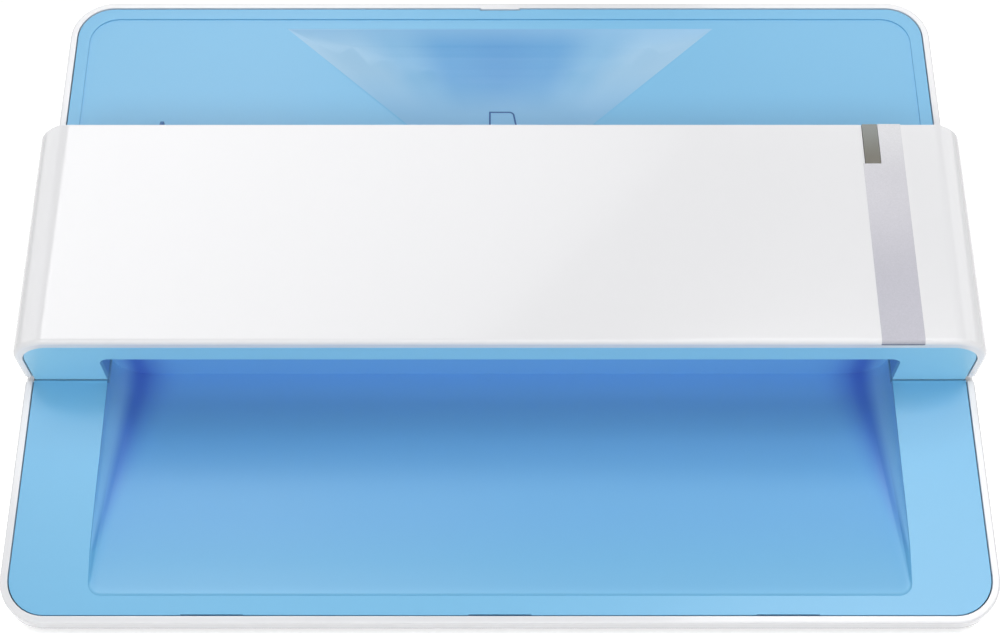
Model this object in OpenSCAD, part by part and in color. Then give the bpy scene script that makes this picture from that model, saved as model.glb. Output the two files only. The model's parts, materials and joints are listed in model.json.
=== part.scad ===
// Photo feeder scanner: a sloping deck with two trays, a hinged bridge cover and a wedge housing below.
// Frame: +X to the user's right, +Y to the back, +Z up, origin on the desk under the middle of the scanner.
// Deck coordinates: x across, s up the slope from the deck's front edge, n out of the deck's face.

/* [Deck] */
// Width of the whole scanner
body_w = 289; // [280:1:310]
// Length of the deck along its slope
deck_l = 217.2; // [214:0.2:235]
// Slope of the deck above the desk, degrees
deck_tilt = 45; // [42:1:48]
// Depth of the deck frame from its face to its underside
deck_t = 10; // [9.5:0.5:12]
// Thickness of the deck frame's floor
deck_floor_t = 2; // [1.5:0.5:2.5]
// Height of the deck's front edge above the desk
toe_h = 5; // [4.5:0.5:8]
// Width of the white rim
rim_w = 2.3; // [2:0.1:3.5]
// Corner radius of the deck
deck_corner_r = 14; // [10:0.5:18]
// Gap between the rim and the blue panels
panel_gap = 0.3; // [0.2:0.1:0.5]
// How far the blue panels lie below the rim's top
panel_drop = 0.3; // [0.1:0.1:0.5]
// Sheet thickness of the front tray
panel_t = 1.8; // [1.4:0.1:2]

/* [Trays] */
// Width of the front tray's recess
recess_w = 239; // [220:1:239]
// Depth of the recess at the cover
recess_depth = 14; // [10:0.5:16]
// Cove radius of the recess at the cover
recess_cove_r = 11; // [6:0.5:12]
// Distance of the recess from the front edge
recess_front = 6.5; // [6:0.5:12]
// Depth of the recess at its front end
recess_front_depth = 0.8; // [0.6:0.1:2]
// Sheet thickness of the rear tray
rear_t = 3; // [2.8:0.1:3.4]
// Distance of the rear tray's step from its edge
step_inset = 4; // [3:0.5:6]
// Depth of the rear tray's step
step_depth = 0.4; // [0.3:0.1:0.8]
// Half-angle of the rear tray's V scoop, degrees
scoop_half_angle = 47.3; // [40:0.1:52]
// Fall of the scoop's floor, degrees
scoop_fall = 4.4; // [3:0.1:5]
// Distance of the scoop's top from the deck's rear edge
scoop_top = 10; // [9:0.5:14]

/* [Cover] */
// Distance of the cover from the deck's front edge
cover_s = 76.3; // [74:0.1:80]
// Length of the cover along the slope
cover_l = 75.4; // [75:0.2:79]
// Height of the cover above the deck's face
cover_h = 26; // [26:0.5:30]
// Side wall thickness of the cover
cover_wall = 2.6; // [2.5:0.1:3.5]
// Top wall thickness of the cover
cover_top_t = 3.25; // [2.5:0.25:4]
// Outer corner radius of the cover
cover_corner_r = 11.5; // [8:0.5:12]
// Lean of the cover's back edge, degrees
cover_lean = 8; // [0:1:10]
// Width of the exit mouth
mouth_w = 239; // [236:0.5:240]
// Height of the exit mouth above the deck's face
mouth_h = 14; // [12:0.5:16]
// Height of the entry mouth above the deck's face
entry_h = 8.5; // [8:0.5:10]
// Hinge axis behind the cover's front
hinge_back = 5.7; // [5.7:0.1:6]
// Hinge axis above the deck's face
hinge_rise = 6; // [6:0.1:6.5]
// Diameter of the hinge pins
hinge_pin_d = 3.5; // [3:0.1:4]

/* [Paper path] */
// Widest photo that the path takes
paper_w = 216; // [200:1:216]
// Radius of the feed tyres
feed_r = 8; // [7.5:0.1:8]
// Radius of the exit tyres
exit_r = 7; // [6.5:0.1:7]
// Radius of the pinch rollers
pinch_r = 5; // [4.5:0.1:5.4]
// Radius of the roller shafts
shaft_r = 3; // [2.5:0.1:3.2]
// Length of one tyre
tyre_l = 16; // [12:1:18]
// Distance from the exit axis to the feed axis
axis_span = 38; // [38:0.1:39]

/* [Drive] */
// Gear module
gear_m = 0.8; // [0.78:0.01:0.82]
// Face width of the gears
gear_w = 6; // [4:0.5:6]
// Flank backlash of the gears
gear_play = 0.1; // [0.08:0.01:0.16]
// Radius of the motor
motor_r = 12.5; // [11:0.5:13]
// Length of the motor
motor_l = 26; // [18:1:30]

/* [Housing] */
// Width of the wedge housing
housing_w = 268; // [266:1:276]
// Depth of the housing from the deck's front edge
housing_d = 156; // [152:1:158]
// Wall thickness of the housing
housing_wall = 2.5; // [2:0.1:2.5]
// Radius of the housing's upright edges
housing_corner_r = 12; // [8:1:16]
// Height of the upright part of the back wall
housing_back_h = 42; // [36:1:48]
// Height of the rubber feet below the housing
foot_h = 1.5; // [1.5:0.25:2]
// Radius of the rubber feet
foot_r = 7; // [5:0.5:9]

/* [Controls] */
// Travel of the paper guide
guide_travel = 150; // [120:5:150]
// Width of the power button
button_w = 9; // [7:0.5:10]
// Height of the power button
button_h = 5; // [4:0.5:5.5]

/* [Hidden] */
$fn = 96;

eps = 1;
hair = 0.01;
free_gap = 0.3;
fit_gap = 0.04;
press_gap = 0.02;
seat_gap = 0.02;

// deck placement
deck_y0 = -(deck_l * cos(deck_tilt) + deck_t * sin(deck_tilt)) / 2;
deck_z0 = toe_h;
toe_clear = 1.2;
half_w = body_w / 2;
panel_half = half_w - rim_w - panel_gap;
panel_in = rim_w + panel_gap;
panel_r = deck_corner_r - panel_in;
pocket_n = -deck_t + deck_floor_t;
skirt_t = 1.6;
window_side = 1.5;
window_half = housing_w / 2 - housing_wall - window_side;
window_front = 30;
snap_x = 82.5;
snap_w = 18;
snap_t = 0.25;
tab_w = 13;
tab_l = 0.45;
tab_t = 1.2;

// lugs and hinge
hinge_s = cover_s + hinge_back;
pin_r = hinge_pin_d / 2;
barrel_r = 3.4;
lug_in = half_w - 13.5;
lug_t = 6;
lug_gap = 0.4;
lug_base_s = hinge_s + 10;
lug_base_l = 9;
relief_s = cover_s - free_gap;
relief_n = -1.4;
relief_l = 15;
cover_lift = 0.4;
cover_nip = 2;
cover_in_half = half_w - cover_wall;
cover_in_top = cover_h - cover_top_t;
cover_in_r = cover_corner_r - cover_wall + 0.5;
cover_end = cover_s + cover_l;

// front tray under the cover
margin_end = cover_s;
shelf_n = -3.1;
shelf_t = 1.8;
shelf_end = hinge_s + 2.5;
pan_end = hinge_s + 3;
pan_wall = 1.6;
tray_end = pan_end + pan_wall;

// front face of the cover
face_t = 1.6;
face_back = cover_s + free_gap + face_t;
face_low = -0.4;
mouth_r = 3;
jamb_t = 1.5;
jamb_low = -1;
jamb_end = hinge_s + 1.4;

// paper path
exit_s = hinge_s + 12;
feed_s = exit_s + axis_span;
exit_n = free_gap - exit_r;
feed_n = free_gap - feed_r;
exit_pinch_n = 2 * free_gap + pinch_r;
feed_pinch_n = exit_pinch_n;
axle_r = 1.5;
tyre_x = [-80, -30, 30, 80];
guide_s0 = tray_end + 0.7;
guide_n = -0.4;
guide_t = 1.8;
guide_low = guide_n - guide_t;
guide_s1 = feed_s + 16;
tray_s0 = guide_s1 + free_gap;
tyre_side = 2;

// scan module
scan_s = (exit_s + feed_s - 1) / 2;
scan_half = 8;
scan_w = paper_w + 10;
module_low = -15;
glass_half = 6.5;
glass_t = 0.8;
glass_n = guide_n - 0.1;
bracket_t = 1.5;
bracket_half = 5.5;

// drive train
plate_t = 2;
gear_side = 1;
shaft_over = 0.8;
drive_side = 0.7;
shaft_end = window_half - drive_side;
gear_x = shaft_end - shaft_over - gear_w;
plate_out = gear_x - gear_side;
plate_in = plate_out - plate_t;
feed_z = 24;
exit_z = 20;
idler_z = 36;
pinion_z = 12;
pressure = 25;
stub = 0.8;
root_depth = 1.05;
feed_pr = gear_m * feed_z / 2;
exit_pr = gear_m * exit_z / 2;
idler_pr = gear_m * idler_z / 2;
pinion_pr = gear_m * pinion_z / 2;
arm_exit = exit_pr + idler_pr;
arm_feed = feed_pr + idler_pr;
arm_span = norm([feed_s - exit_s, feed_n - exit_n]);
arm_lean = atan2(feed_n - exit_n, feed_s - exit_s);
arm_cut = (arm_exit * arm_exit - arm_feed * arm_feed + arm_span * arm_span) / (2 * arm_span);
arm_turn = arm_lean - acos(arm_cut / arm_exit);
idler_s = exit_s + arm_exit * cos(arm_turn);
idler_n = exit_n + arm_exit * sin(arm_turn);
pinion_s = idler_s;
pinion_n = idler_n - idler_pr - pinion_pr;
dir_idler_feed = atan2(feed_n - idler_n, feed_s - idler_s);
dir_idler_exit = atan2(exit_n - idler_n, exit_s - idler_s);
feed_phase = mesh_phase(idler_z, 0, feed_z, dir_idler_feed);
exit_phase = mesh_phase(idler_z, 0, exit_z, dir_idler_exit);
pinion_phase = mesh_phase(idler_z, 0, pinion_z, -90);
hex = 6;
idler_shaft_r = 2.5;
motor_shaft_r = 1.5;
motor_boss_r = 5;
motor_ear = 17;
motor_ear_r = 4;
bush_r = 3.9;
bush_flange_r = 4.3;
bush_flange_t = 1;
screw_r = 1.4;
head_r = 2.8;
head_t = 1.6;

// sensor lever
lever_s = guide_s1 - 4;
lever_n = -6;
lever_half = 2;
cheek_t = 2;
cheek_half = 2.5;
lever_pin_r = 1;

// paper guide
slot_s = tray_s0 + 6.8;
slot_l = 2.4;
slide_x0 = -paper_w / 2 - 2;
fence_t = 1.2;
neck_l = 10;
clip_t = 1.8;
guide_tip = tray_s0 + 20.8;
guide_plate_t = 1.4;
tray_top = -panel_drop - step_depth;
tray_low = -panel_drop - rear_t;
pad_s0 = slot_s + 7;
pad_half = 78;
pad_t = 2.4;

// scoop: a wide flat cone trimmed by a large cylinder
scoop_l = 77.3;
scoop_apex_s = deck_l - scoop_l;
scoop_lift = atan((cos(scoop_fall) - cos(scoop_half_angle)) / sin(scoop_fall));
scoop_cone = scoop_lift + scoop_fall;
scoop_h = 20;
scoop_fade_r = 60;
scoop_fade = 20;
scoop_top_s = deck_l - scoop_top;

// cover furniture
strip_side = 20.5;
strip_w = 12.5;
strip_x1 = half_w - strip_side;
strip_x0 = strip_x1 - strip_w;
strip_t = 0.5;
strip_gap = 0.1;
strip_wrap = 1.4;
wrap_gap = 0.25;
window_side_gap = 0.7;
window_w = 4.7;
window_x0 = strip_x0 + window_side_gap;
window_x1 = window_x0 + window_w;
window_l = 14.2;
upper_n = 1.2;
upper_t = 1.6;
upper_half = paper_w / 2 + 12;
upper_top = upper_n + upper_t;
upper_s0 = hinge_s + 2;
upper_s1 = guide_s1 - 6;
entry_s = cover_end - 4.5;
entry_t = 1.8;
post_x = paper_w / 2 + 4;
post_r = 4;
post_s = [exit_s + 7, feed_s - 10];
brackets = [-104, -55, 0, 55, 104];
bracket_w = 4;
bracket_rise = 3;
ref_half = 5.5;
ref_w = paper_w - 2;
ref_flange = 2;
leaf_t = 0.4;
leaf_w = 5;
leaf_x = 43;

// housing
front_y = deck_py(14, -deck_t);
back_y = deck_y0 + housing_d;
roof_back = 20.2;
roof_s = guide_s1 + roof_back;
roof = [deck_py(roof_s, -deck_t - seat_gap), deck_pz(roof_s, -deck_t - seat_gap)];
knee = [back_y, housing_back_h];
brow = [front_y, deck_pz(14, -deck_t) - 2 * seat_gap];
lean_dir = (roof - knee) / norm(roof - knee);
lean_in = [-lean_dir[1], lean_dir[0]];
knee_run = (-housing_wall - housing_wall * lean_in[0]) / lean_dir[0];
knee_in = knee + housing_wall * lean_in + knee_run * lean_dir;
roof_in = roof + housing_wall * lean_in + 20 * lean_dir;
plate_gap = 0.2;
floor_t = 3;
floor_z = foot_h + floor_t;
foot_x = housing_w / 2 - 26;
foot_y = [front_y + 18, back_y - 18];
foot_sink = 1;
case_x = housing_w / 2 - housing_wall - 5;
case_y = [front_y + housing_wall + 26, back_y - housing_wall - 12];
case_r = 4;
case_post_h = 8;
case_l = 6;
deck_screw_x = housing_w / 2 - housing_wall - 3.5;
deck_screw_front = 22;
deck_screw_back = 10;
deck_screw_s = [deck_screw_front, roof_s - deck_screw_back];
deck_screw_l = 6;
deck_boss_l = 8;

// electronics
board_x = [-40, 62];
board_d = 52;
board_z = floor_z + 4.5;
board_t = 1.6;
board_y = back_y - housing_wall - 1.2;
data_x = 20;
data_w = 12;
data_h = 11;
data_d = 16;
inlet_x = 46;
inlet_w = 10;
inlet_h = 11;
inlet_d = 14;
inlet_r = 3.2;
inlet_pin_r = 1;
switch_x = -12;
switch_d = 8;
button_z = board_z + board_t + 4;
button_out = 1.5;
button_flange = 1.2;
button_travel = 1.2;
ribbon_x = -14;
ribbon_w = 22;
ribbon_t = 0.4;
ribbon_slack = 0.1;
ribbon_seat = 1;
plug_side = 2;
plug_in = 4;
plug_d = 5;
plug_h = 4;
ribbon_y = board_y - board_d + plug_in + plug_d / 2;
board_post_r = 3;
board_post_in = 5;
board_post_back = 22;
// chips on the board: x, distance from its back edge, width, depth and height
chips = [[10, 42, 16, 16, 1.4], [36, 40, 10, 8, 1.2], [-34, 18, 8, 12, 3]];
cap_x = [34, 54];
cap_back = 25;
cap_r = 3.5;
cap_h = 9;
vent_n = 5;
vent_w = 2;
vent_h = 16;
vent_z = 12;
vent_pitch = 6;
vent_back = 42;

function deck_py(s, n) = deck_y0 + s * cos(deck_tilt) - n * sin(deck_tilt);
function deck_pz(s, n) = deck_z0 + s * sin(deck_tilt) + n * cos(deck_tilt);
// phase of a gear that meshes with a gear of z1 teeth, which lies in direction dir from it to the new one
function mesh_phase(z1, phase1, z2, dir) = dir + 180 + 180 / z2 - z1 / z2 * (phase1 - dir);
function inv(a) = tan(a) - a * PI / 180;
// half the angle of a tooth at radius r
function tooth_half(z, r) =
    let (pr = gear_m * z / 2, base = pr * cos(pressure))
    (PI / 2 / z - gear_play / 2 / pr + inv(pressure) - (r > base ? inv(acos(base / r)) : 0)) * 180 / PI;
function polar(r, a) = [r * cos(a), r * sin(a)];
// a strip of even thickness along a line of points
function strip_side(p, i, t) =
    let (a = p[max(i - 1, 0)], b = p[min(i + 1, len(p) - 1)], d = (b - a) / norm(b - a))
    p[i] + t / 2 * [-d[1], d[0]];
function strip(p, t) = concat([for (i = [0 : len(p) - 1]) strip_side(p, i, t)],
    [for (i = [len(p) - 1 : -1 : 0]) strip_side(p, i, -t)]);

module on_deck() {
    translate([0, deck_y0, deck_z0]) rotate([deck_tilt, 0, 0]) children();
}

// a profile drawn in (s, n), or in (y, z), made solid from x0 to x1
module across(x0, x1) {
    translate([x0, 0, 0]) rotate([90, 0, 90]) linear_extrude(x1 - x0) children();
}

// a section drawn in (x, n), made solid from s0 to s1
module along(s0, s1) {
    translate([0, s1, 0]) rotate([90, 0, 0]) linear_extrude(s1 - s0) children();
}

module both_sides() {
    children();
    mirror([1, 0, 0]) children();
}

module pin(x0, x1, s, n, r) {
    across(x0, x1) translate([s, n]) circle(r);
}

module box(x0, x1, s0, s1, n0, n1) {
    translate([x0, s0, n0]) cube([x1 - x0, s1 - s0, n1 - n0]);
}

// rounded rectangle, centred in x, from y = 0 to l
module round_rect(w, l, r) {
    translate([-w / 2 + r, 0]) square([w - 2 * r, l]);
    translate([-w / 2, r]) square([w, l - 2 * r]);
    for (x = [-w / 2 + r, w / 2 - r], y = [r, l - r]) translate([x, y]) circle(r);
}

// arch section in (x, n): flat at the bottom, rounded at the top corners
module arch(half, low, top, r) {
    translate([-half, low]) square([2 * half, top - r - low]);
    translate([-half + r, low]) square([2 * half - 2 * r, top - low]);
    for (x = [-half + r, half - r]) translate([x, top - r]) circle(r);
}

module gear_shape(z, phase) {
    pr = gear_m * z / 2;
    root = pr - root_depth * gear_m;
    low = max(root + 0.1, pr * cos(pressure) + 0.01);
    tip = pr + stub * gear_m;
    steps = [low, low + (tip - low) / 3, low + (tip - low) * 2 / 3, tip];
    pitch = 360 / z;
    polygon([for (i = [0 : z - 1])
        let (a = phase + i * pitch, foot = tooth_half(z, low))
        each concat([polar(root, a - foot)],
            [for (r = steps) polar(r, a - tooth_half(z, r))],
            [for (k = [3 : -1 : 0]) polar(steps[k], a + tooth_half(z, steps[k]))],
            [polar(root, a + foot)])]);
}

module gear(z, phase, s, n, bore_r) {
    across(gear_x, gear_x + gear_w) translate([s, n]) difference() {
        gear_shape(z, phase);
        circle(bore_r + fit_gap, $fn = hex);
    }
}

// shaft with a hexagonal end for its gear
module geared_shaft(x0, s, n, r) {
    pin(x0, gear_x - free_gap, s, n, r);
    across(gear_x - free_gap, shaft_end) translate([s, n]) circle(r, $fn = hex);
}

module screw_up(l) {
    cylinder(h = head_t, r = head_r);
    cylinder(h = head_t + l, r = screw_r);
}

module panel_outline(inset) {
    translate([0, panel_in + inset])
        round_rect(2 * (panel_half - inset), deck_l - 2 * (panel_in + inset), panel_r - inset);
}

module deck_frame() {
    color("white") difference() {
        on_deck() {
            difference() {
                translate([0, 0, -deck_t]) linear_extrude(deck_t) round_rect(body_w, deck_l, deck_corner_r);
                translate([0, rim_w, pocket_n]) linear_extrude(deck_t)
                    round_rect(body_w - 2 * rim_w, deck_l - 2 * rim_w, deck_corner_r - rim_w);
                box(-window_half, window_half, window_front, guide_s1, -deck_t - eps, 0);
                both_sides() box(panel_half, half_w + eps, relief_s, relief_s + relief_l, relief_n, eps);
                for (s = deck_screw_s) both_sides()
                    translate([deck_screw_x, s, -deck_t - eps]) cylinder(h = deck_t, r = screw_r + 0.2);
            }
            box(-tab_w / 2, tab_w / 2, deck_l - rim_w - tab_l, deck_l - rim_w + hair, -tab_t, 0);
            both_sides() across(lug_in, lug_in + lug_t) difference() {
                union() {
                    translate([hinge_s, hinge_rise - barrel_r])
                        square([lug_base_s - hinge_s + eps, 2 * barrel_r]);
                    translate([lug_base_s, pocket_n - eps])
                        square([lug_base_l, hinge_rise + barrel_r - pocket_n + eps]);
                    translate([hinge_s, hinge_rise]) circle(barrel_r);
                }
                translate([hinge_s, hinge_rise]) circle(pin_r + press_gap);
            }
        }
        translate([-body_w, deck_y0 - body_w / 2, -body_w]) cube([2 * body_w, body_w, body_w + toe_clear]);
    }
}

// hollow of the front tray: deep and coved at the cover, shallow at the front
module recess(grow, top) {
    half = recess_w / 2 + grow;
    deep_r = recess_cove_r + grow;
    low = -panel_drop - recess_depth - grow;
    shallow = -panel_drop - recess_front_depth - grow;
    end_r = 4;
    end_run = 3;
    hull() {
        along(pan_end + grow - hair, pan_end + grow) intersection() {
            translate([-half, low]) square([2 * half, top - low]);
            union() {
                translate([-half, low + deep_r]) square([2 * half, deep_r]);
                translate([-half + deep_r, low]) square([2 * (half - deep_r), 2 * deep_r]);
                for (x = [-half + deep_r, half - deep_r]) translate([x, low + deep_r])
                    circle(deep_r, $fn = 48);
            }
        }
        translate([0, recess_front - grow, top - hair]) linear_extrude(hair)
            round_rect(2 * half, 4 * end_r, end_r, $fn = 32);
        translate([0, recess_front - grow + end_run, shallow]) linear_extrude(hair)
            round_rect(2 * half - 2, 3 * end_r, end_r, $fn = 32);
    }
}

module front_tray() {
    color("skyblue") on_deck() difference() {
        union() {
            intersection() {
                union() {
                    translate([0, 0, -panel_drop - panel_t]) linear_extrude(panel_t) panel_outline(0);
                    translate([0, 0, pocket_n]) linear_extrude(-pocket_n - panel_drop) difference() {
                        panel_outline(0);
                        panel_outline(skirt_t);
                    }
                }
                box(-half_w, half_w, 0, margin_end, -deck_t, eps);
            }
            both_sides() box(recess_w / 2 + 1, panel_half, margin_end - skirt_t, margin_end,
                shelf_n - shelf_t, -panel_drop - 1);
            both_sides() box(recess_w / 2 + 1, panel_half, margin_end - skirt_t, shelf_end,
                shelf_n - shelf_t, shelf_n);
            recess(pan_wall, -panel_drop - 0.5);
        }
        recess(0, eps);
        for (x = [-snap_x, 0, snap_x])
            box(x - snap_w / 2, x + snap_w / 2, 0, panel_in + snap_t, -panel_drop - panel_t, eps);
        both_sides() box(recess_w / 2 - eps, half_w, margin_end, hinge_s + half_w, shelf_n, eps);
    }
}

module rear_tray() {
    inner_w = 2 * (panel_half - step_inset);
    color("skyblue") on_deck() difference() {
        intersection() {
            union() {
                translate([0, 0, tray_low]) linear_extrude(rear_t) panel_outline(0);
                translate([0, 0, pocket_n]) linear_extrude(-pocket_n - panel_drop) difference() {
                    panel_outline(0);
                    panel_outline(skirt_t);
                }
                box(-pad_half, pad_half, pad_s0, deck_l - panel_in - step_inset, tray_low - pad_t,
                    tray_low + hair);
            }
            box(-half_w, half_w, tray_s0, deck_l, -deck_t, eps);
        }
        translate([0, 0, tray_top]) linear_extrude(deck_t)
            translate([0, panel_in + step_inset])
            round_rect(inner_w, deck_l - 2 * (panel_in + step_inset), panel_r - step_inset + 2);
        translate([0, 0, tray_top]) intersection() {
            translate([0, scoop_apex_s, 0]) rotate([scoop_lift - 90, 0, 0])
                cylinder(h = scoop_h, r1 = 0, r2 = scoop_h * tan(scoop_cone));
            pin(-half_w, half_w, scoop_top_s - scoop_fade_r * sin(scoop_fade),
                scoop_fade_r * cos(scoop_fade), scoop_fade_r, $fn = 180);
        }
        box(-tab_w / 2 - panel_gap, tab_w / 2 + panel_gap, deck_l - panel_in - tab_l, deck_l, -deck_t, eps);
        box(slide_x0 - neck_l, slide_x0 + guide_travel + neck_l, slot_s - slot_l / 2, slot_s + slot_l / 2,
            -deck_t, eps);
    }
}

module lower_guide() {
    color("steelblue") on_deck() difference() {
        union() {
            box(-panel_half + 1, panel_half - 1, guide_s0, guide_s1, guide_low, guide_n);
            both_sides() box(panel_half - 3, panel_half - 1, guide_s0, guide_s1, pocket_n, guide_n);
            for (x = [-lever_half - cheek_t - 0.8, lever_half + 0.8])
                box(x, x + cheek_t, lever_s - cheek_half, lever_s + cheek_half, lever_n - cheek_half,
                    guide_n);
        }
        both_sides() box(lug_in - lug_gap, lug_in + lug_t + lug_gap, guide_s0 - eps,
            lug_base_s + lug_base_l + lug_gap, -deck_t, eps);
        for (c = [[exit_s, exit_pr], [feed_s, feed_pr]])
            box(gear_x - 0.6, gear_x + gear_w + 0.6, c[0] - c[1] - 1.5, c[0] + c[1] + 1.5, -deck_t, eps);
        for (c = [[exit_s, exit_r], [feed_s, feed_r]], x = tyre_x)
            box(x - tyre_l / 2 - tyre_side, x + tyre_l / 2 + tyre_side, c[0] - c[1] + 1, c[0] + c[1] - 1,
                -deck_t, eps);
        box(-scan_w / 2 + 2, scan_w / 2 - 2, scan_s - glass_half - 0.5, scan_s + glass_half + 0.5,
            -deck_t, eps);
        box(-lever_half - 0.6, lever_half + 0.6, lever_s - 5, lever_s + 2.6, -deck_t, eps);
        pin(-half_w / 2, half_w / 2, lever_s, lever_n, lever_pin_r + press_gap);
    }
}

module housing_plan(inset) {
    translate([0, front_y + inset])
        round_rect(housing_w - 2 * inset, back_y - front_y - 2 * inset, housing_corner_r - inset);
}

module deck_bosses(l, r) {
    on_deck() for (s = deck_screw_s) both_sides()
        translate([deck_screw_x, s, -deck_t - l]) cylinder(h = l - seat_gap, r = r);
}

module rear_housing() {
    color("white") difference() {
        union() {
            difference() {
                intersection() {
                    across(-housing_w / 2, housing_w / 2)
                        polygon([[front_y, foot_h], [back_y, foot_h], knee, roof, brow]);
                    linear_extrude(body_w) housing_plan(0);
                }
                intersection() {
                    across(-housing_w / 2 + housing_wall, housing_w / 2 - housing_wall)
                        polygon([[front_y + housing_wall, 0], [back_y - housing_wall, 0], knee_in, roof_in,
                            brow + [housing_wall, 40]]);
                    linear_extrude(body_w) housing_plan(housing_wall);
                }
            }
            for (y = case_y) both_sides() {
                translate([case_x, y, floor_z]) cylinder(h = case_post_h, r = case_r);
                translate([case_x, y - 1, floor_z])
                    cube([housing_w / 2 - housing_wall / 2 - case_x, 2, case_post_h]);
            }
            deck_bosses(deck_boss_l, case_r);
        }
        for (y = case_y) both_sides()
            translate([case_x, y, 0]) cylinder(h = floor_z + case_l + 1, r = screw_r + press_gap);
        deck_bosses(deck_screw_l, screw_r + press_gap);
        port_holes();
        both_sides() for (i = [0 : vent_n - 1])
            translate([housing_w / 2 - 2 * housing_wall, back_y - vent_back + vent_pitch * i, vent_z])
                cube([4 * housing_wall, vent_w, vent_h]);
    }
}

module port_holes() {
    wall_y = back_y - housing_wall - eps;
    deep = housing_wall + 2 * eps;
    translate([data_x - data_w / 2 - free_gap, wall_y, board_z + board_t - free_gap])
        cube([data_w + 2 * free_gap, deep, data_h + 2 * free_gap]);
    translate([inlet_x - inlet_w / 2 - free_gap, wall_y, board_z + board_t - free_gap])
        cube([inlet_w + 2 * free_gap, deep, inlet_h + 2 * free_gap]);
    translate([switch_x - button_w / 2 - free_gap, wall_y, button_z - button_h / 2 - free_gap])
        cube([button_w + 2 * free_gap, deep, button_h + 2 * free_gap]);
}

module board_post_places() {
    for (x = [board_x[0] + board_post_in, board_x[1] - board_post_in],
        y = [board_y - board_d + board_post_in, board_y - board_post_back])
        translate([x, y]) children();
}

module bottom_plate() {
    color("gainsboro") difference() {
        union() {
            translate([0, 0, foot_h]) linear_extrude(floor_t) housing_plan(housing_wall + plate_gap);
            translate([0, 0, floor_z - hair]) board_post_places()
                cylinder(h = board_z - floor_z + hair, r = board_post_r);
        }
        for (y = foot_y) both_sides() translate([foot_x, y, 0])
            cylinder(h = foot_h + foot_sink, r = foot_r + press_gap);
        for (y = case_y) both_sides() translate([case_x, y, 0]) {
            cylinder(h = foot_h + head_t, r = head_r + free_gap);
            cylinder(h = floor_z + eps, r = screw_r + 0.2);
        }
    }
}

module rubber_feet() {
    color("dimgray") for (y = foot_y) both_sides() translate([foot_x, y, 0])
        cylinder(h = foot_h + foot_sink, r = foot_r);
}

module case_screws() {
    color("silver") for (y = case_y) both_sides()
        translate([case_x, y, foot_h]) screw_up(floor_t - head_t + case_l);
}

module deck_screws() {
    color("silver") on_deck() for (s = deck_screw_s) both_sides()
        translate([deck_screw_x, s, pocket_n + head_t]) mirror([0, 0, 1])
            screw_up(deck_screw_l + deck_floor_t - eps);
}

module hinge_pins() {
    color("silver") on_deck() both_sides() pin(lug_in, cover_in_half - 0.5, hinge_s, hinge_rise, pin_r);
}

module scan_module() {
    color("dimgray") on_deck() {
        box(-scan_w / 2, scan_w / 2, scan_s - scan_half, scan_s + scan_half, module_low,
            guide_low - free_gap);
        box(-scan_w / 2 + 3, scan_w / 2 - 3, scan_s - glass_half, scan_s + glass_half,
            guide_low - free_gap, glass_n - glass_t);
    }
}

module scan_glass() {
    color("lightcyan") on_deck() box(-scan_w / 2 + 3, scan_w / 2 - 3,
        scan_s - glass_half, scan_s + glass_half, glass_n - glass_t, glass_n);
}

module module_bracket() {
    color("silver") on_deck() box(-plate_in, plate_in, scan_s - bracket_half, scan_s + bracket_half,
        module_low - bracket_t, module_low);
}

module drive_plate() {
    s0 = tray_end + 1;
    s1 = feed_s + 11;
    low = pinion_n - 7.5;
    color("silver") on_deck() across(plate_in, plate_out) difference() {
        polygon([[s0, guide_low], [s1, guide_low], [s1, pinion_n + 4], [s1 - 5, low], [idler_s - 25, low],
            [idler_s - 27, pinion_n - 4], [idler_s - 27, pinion_n + 6], [s0, pinion_n + 16]]);
        translate([exit_s, exit_n]) circle(bush_r + press_gap);
        translate([feed_s, feed_n]) circle(bush_r + press_gap);
        translate([idler_s, idler_n]) circle(bush_r + press_gap);
        translate([pinion_s, pinion_n]) circle(motor_boss_r + press_gap);
        for (d = [-motor_ear, motor_ear]) translate([pinion_s + d, pinion_n]) circle(screw_r + press_gap);
    }
}

module side_plate() {
    s0 = tray_end + 1;
    s1 = feed_s + 11;
    color("silver") on_deck() across(-plate_out, -plate_in) difference() {
        translate([s0, module_low - bracket_t - 2])
            square([s1 - s0, guide_low - module_low + bracket_t + 2]);
        translate([exit_s, exit_n]) circle(bush_r + press_gap);
        translate([feed_s, feed_n]) circle(bush_r + press_gap);
    }
}

module bush(s, n, r, flange_t) {
    difference() {
        union() {
            pin(plate_in, plate_out, s, n, bush_r);
            if (flange_t > 0) pin(plate_in - flange_t, plate_in, s, n, bush_flange_r);
        }
        pin(plate_in - 2 * eps, plate_out + eps, s, n, r + fit_gap);
    }
}

module roller_bushes() {
    color("goldenrod") on_deck() {
        both_sides() bush(exit_s, exit_n, shaft_r, bush_flange_t);
        both_sides() bush(feed_s, feed_n, shaft_r, bush_flange_t);
        bush(idler_s, idler_n, idler_shaft_r, 0);
    }
}

module drive_motor() {
    ear_t = 1.5;
    color("gray") on_deck() difference() {
        union() {
            pin(plate_in - motor_l, plate_in, pinion_s, pinion_n, motor_r);
            pin(plate_in - eps, plate_out - 0.5, pinion_s, pinion_n, motor_boss_r);
            box(plate_in - ear_t, plate_in, pinion_s - motor_ear, pinion_s + motor_ear,
                pinion_n - motor_ear_r, pinion_n + motor_ear_r);
            for (d = [-motor_ear, motor_ear])
                pin(plate_in - ear_t, plate_in, pinion_s + d, pinion_n, motor_ear_r);
        }
        pin(plate_in - 10, shaft_end, pinion_s, pinion_n, motor_shaft_r + fit_gap);
        for (d = [-motor_ear, motor_ear])
            pin(plate_in - 2 * ear_t, plate_in + eps, pinion_s + d, pinion_n, screw_r + press_gap);
    }
}

module motor_screws() {
    color("silver") on_deck() for (d = [-motor_ear, motor_ear])
        translate([plate_out + head_t, pinion_s + d, pinion_n]) rotate([0, -90, 0]) screw_up(plate_t + 2.5);
}

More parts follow.
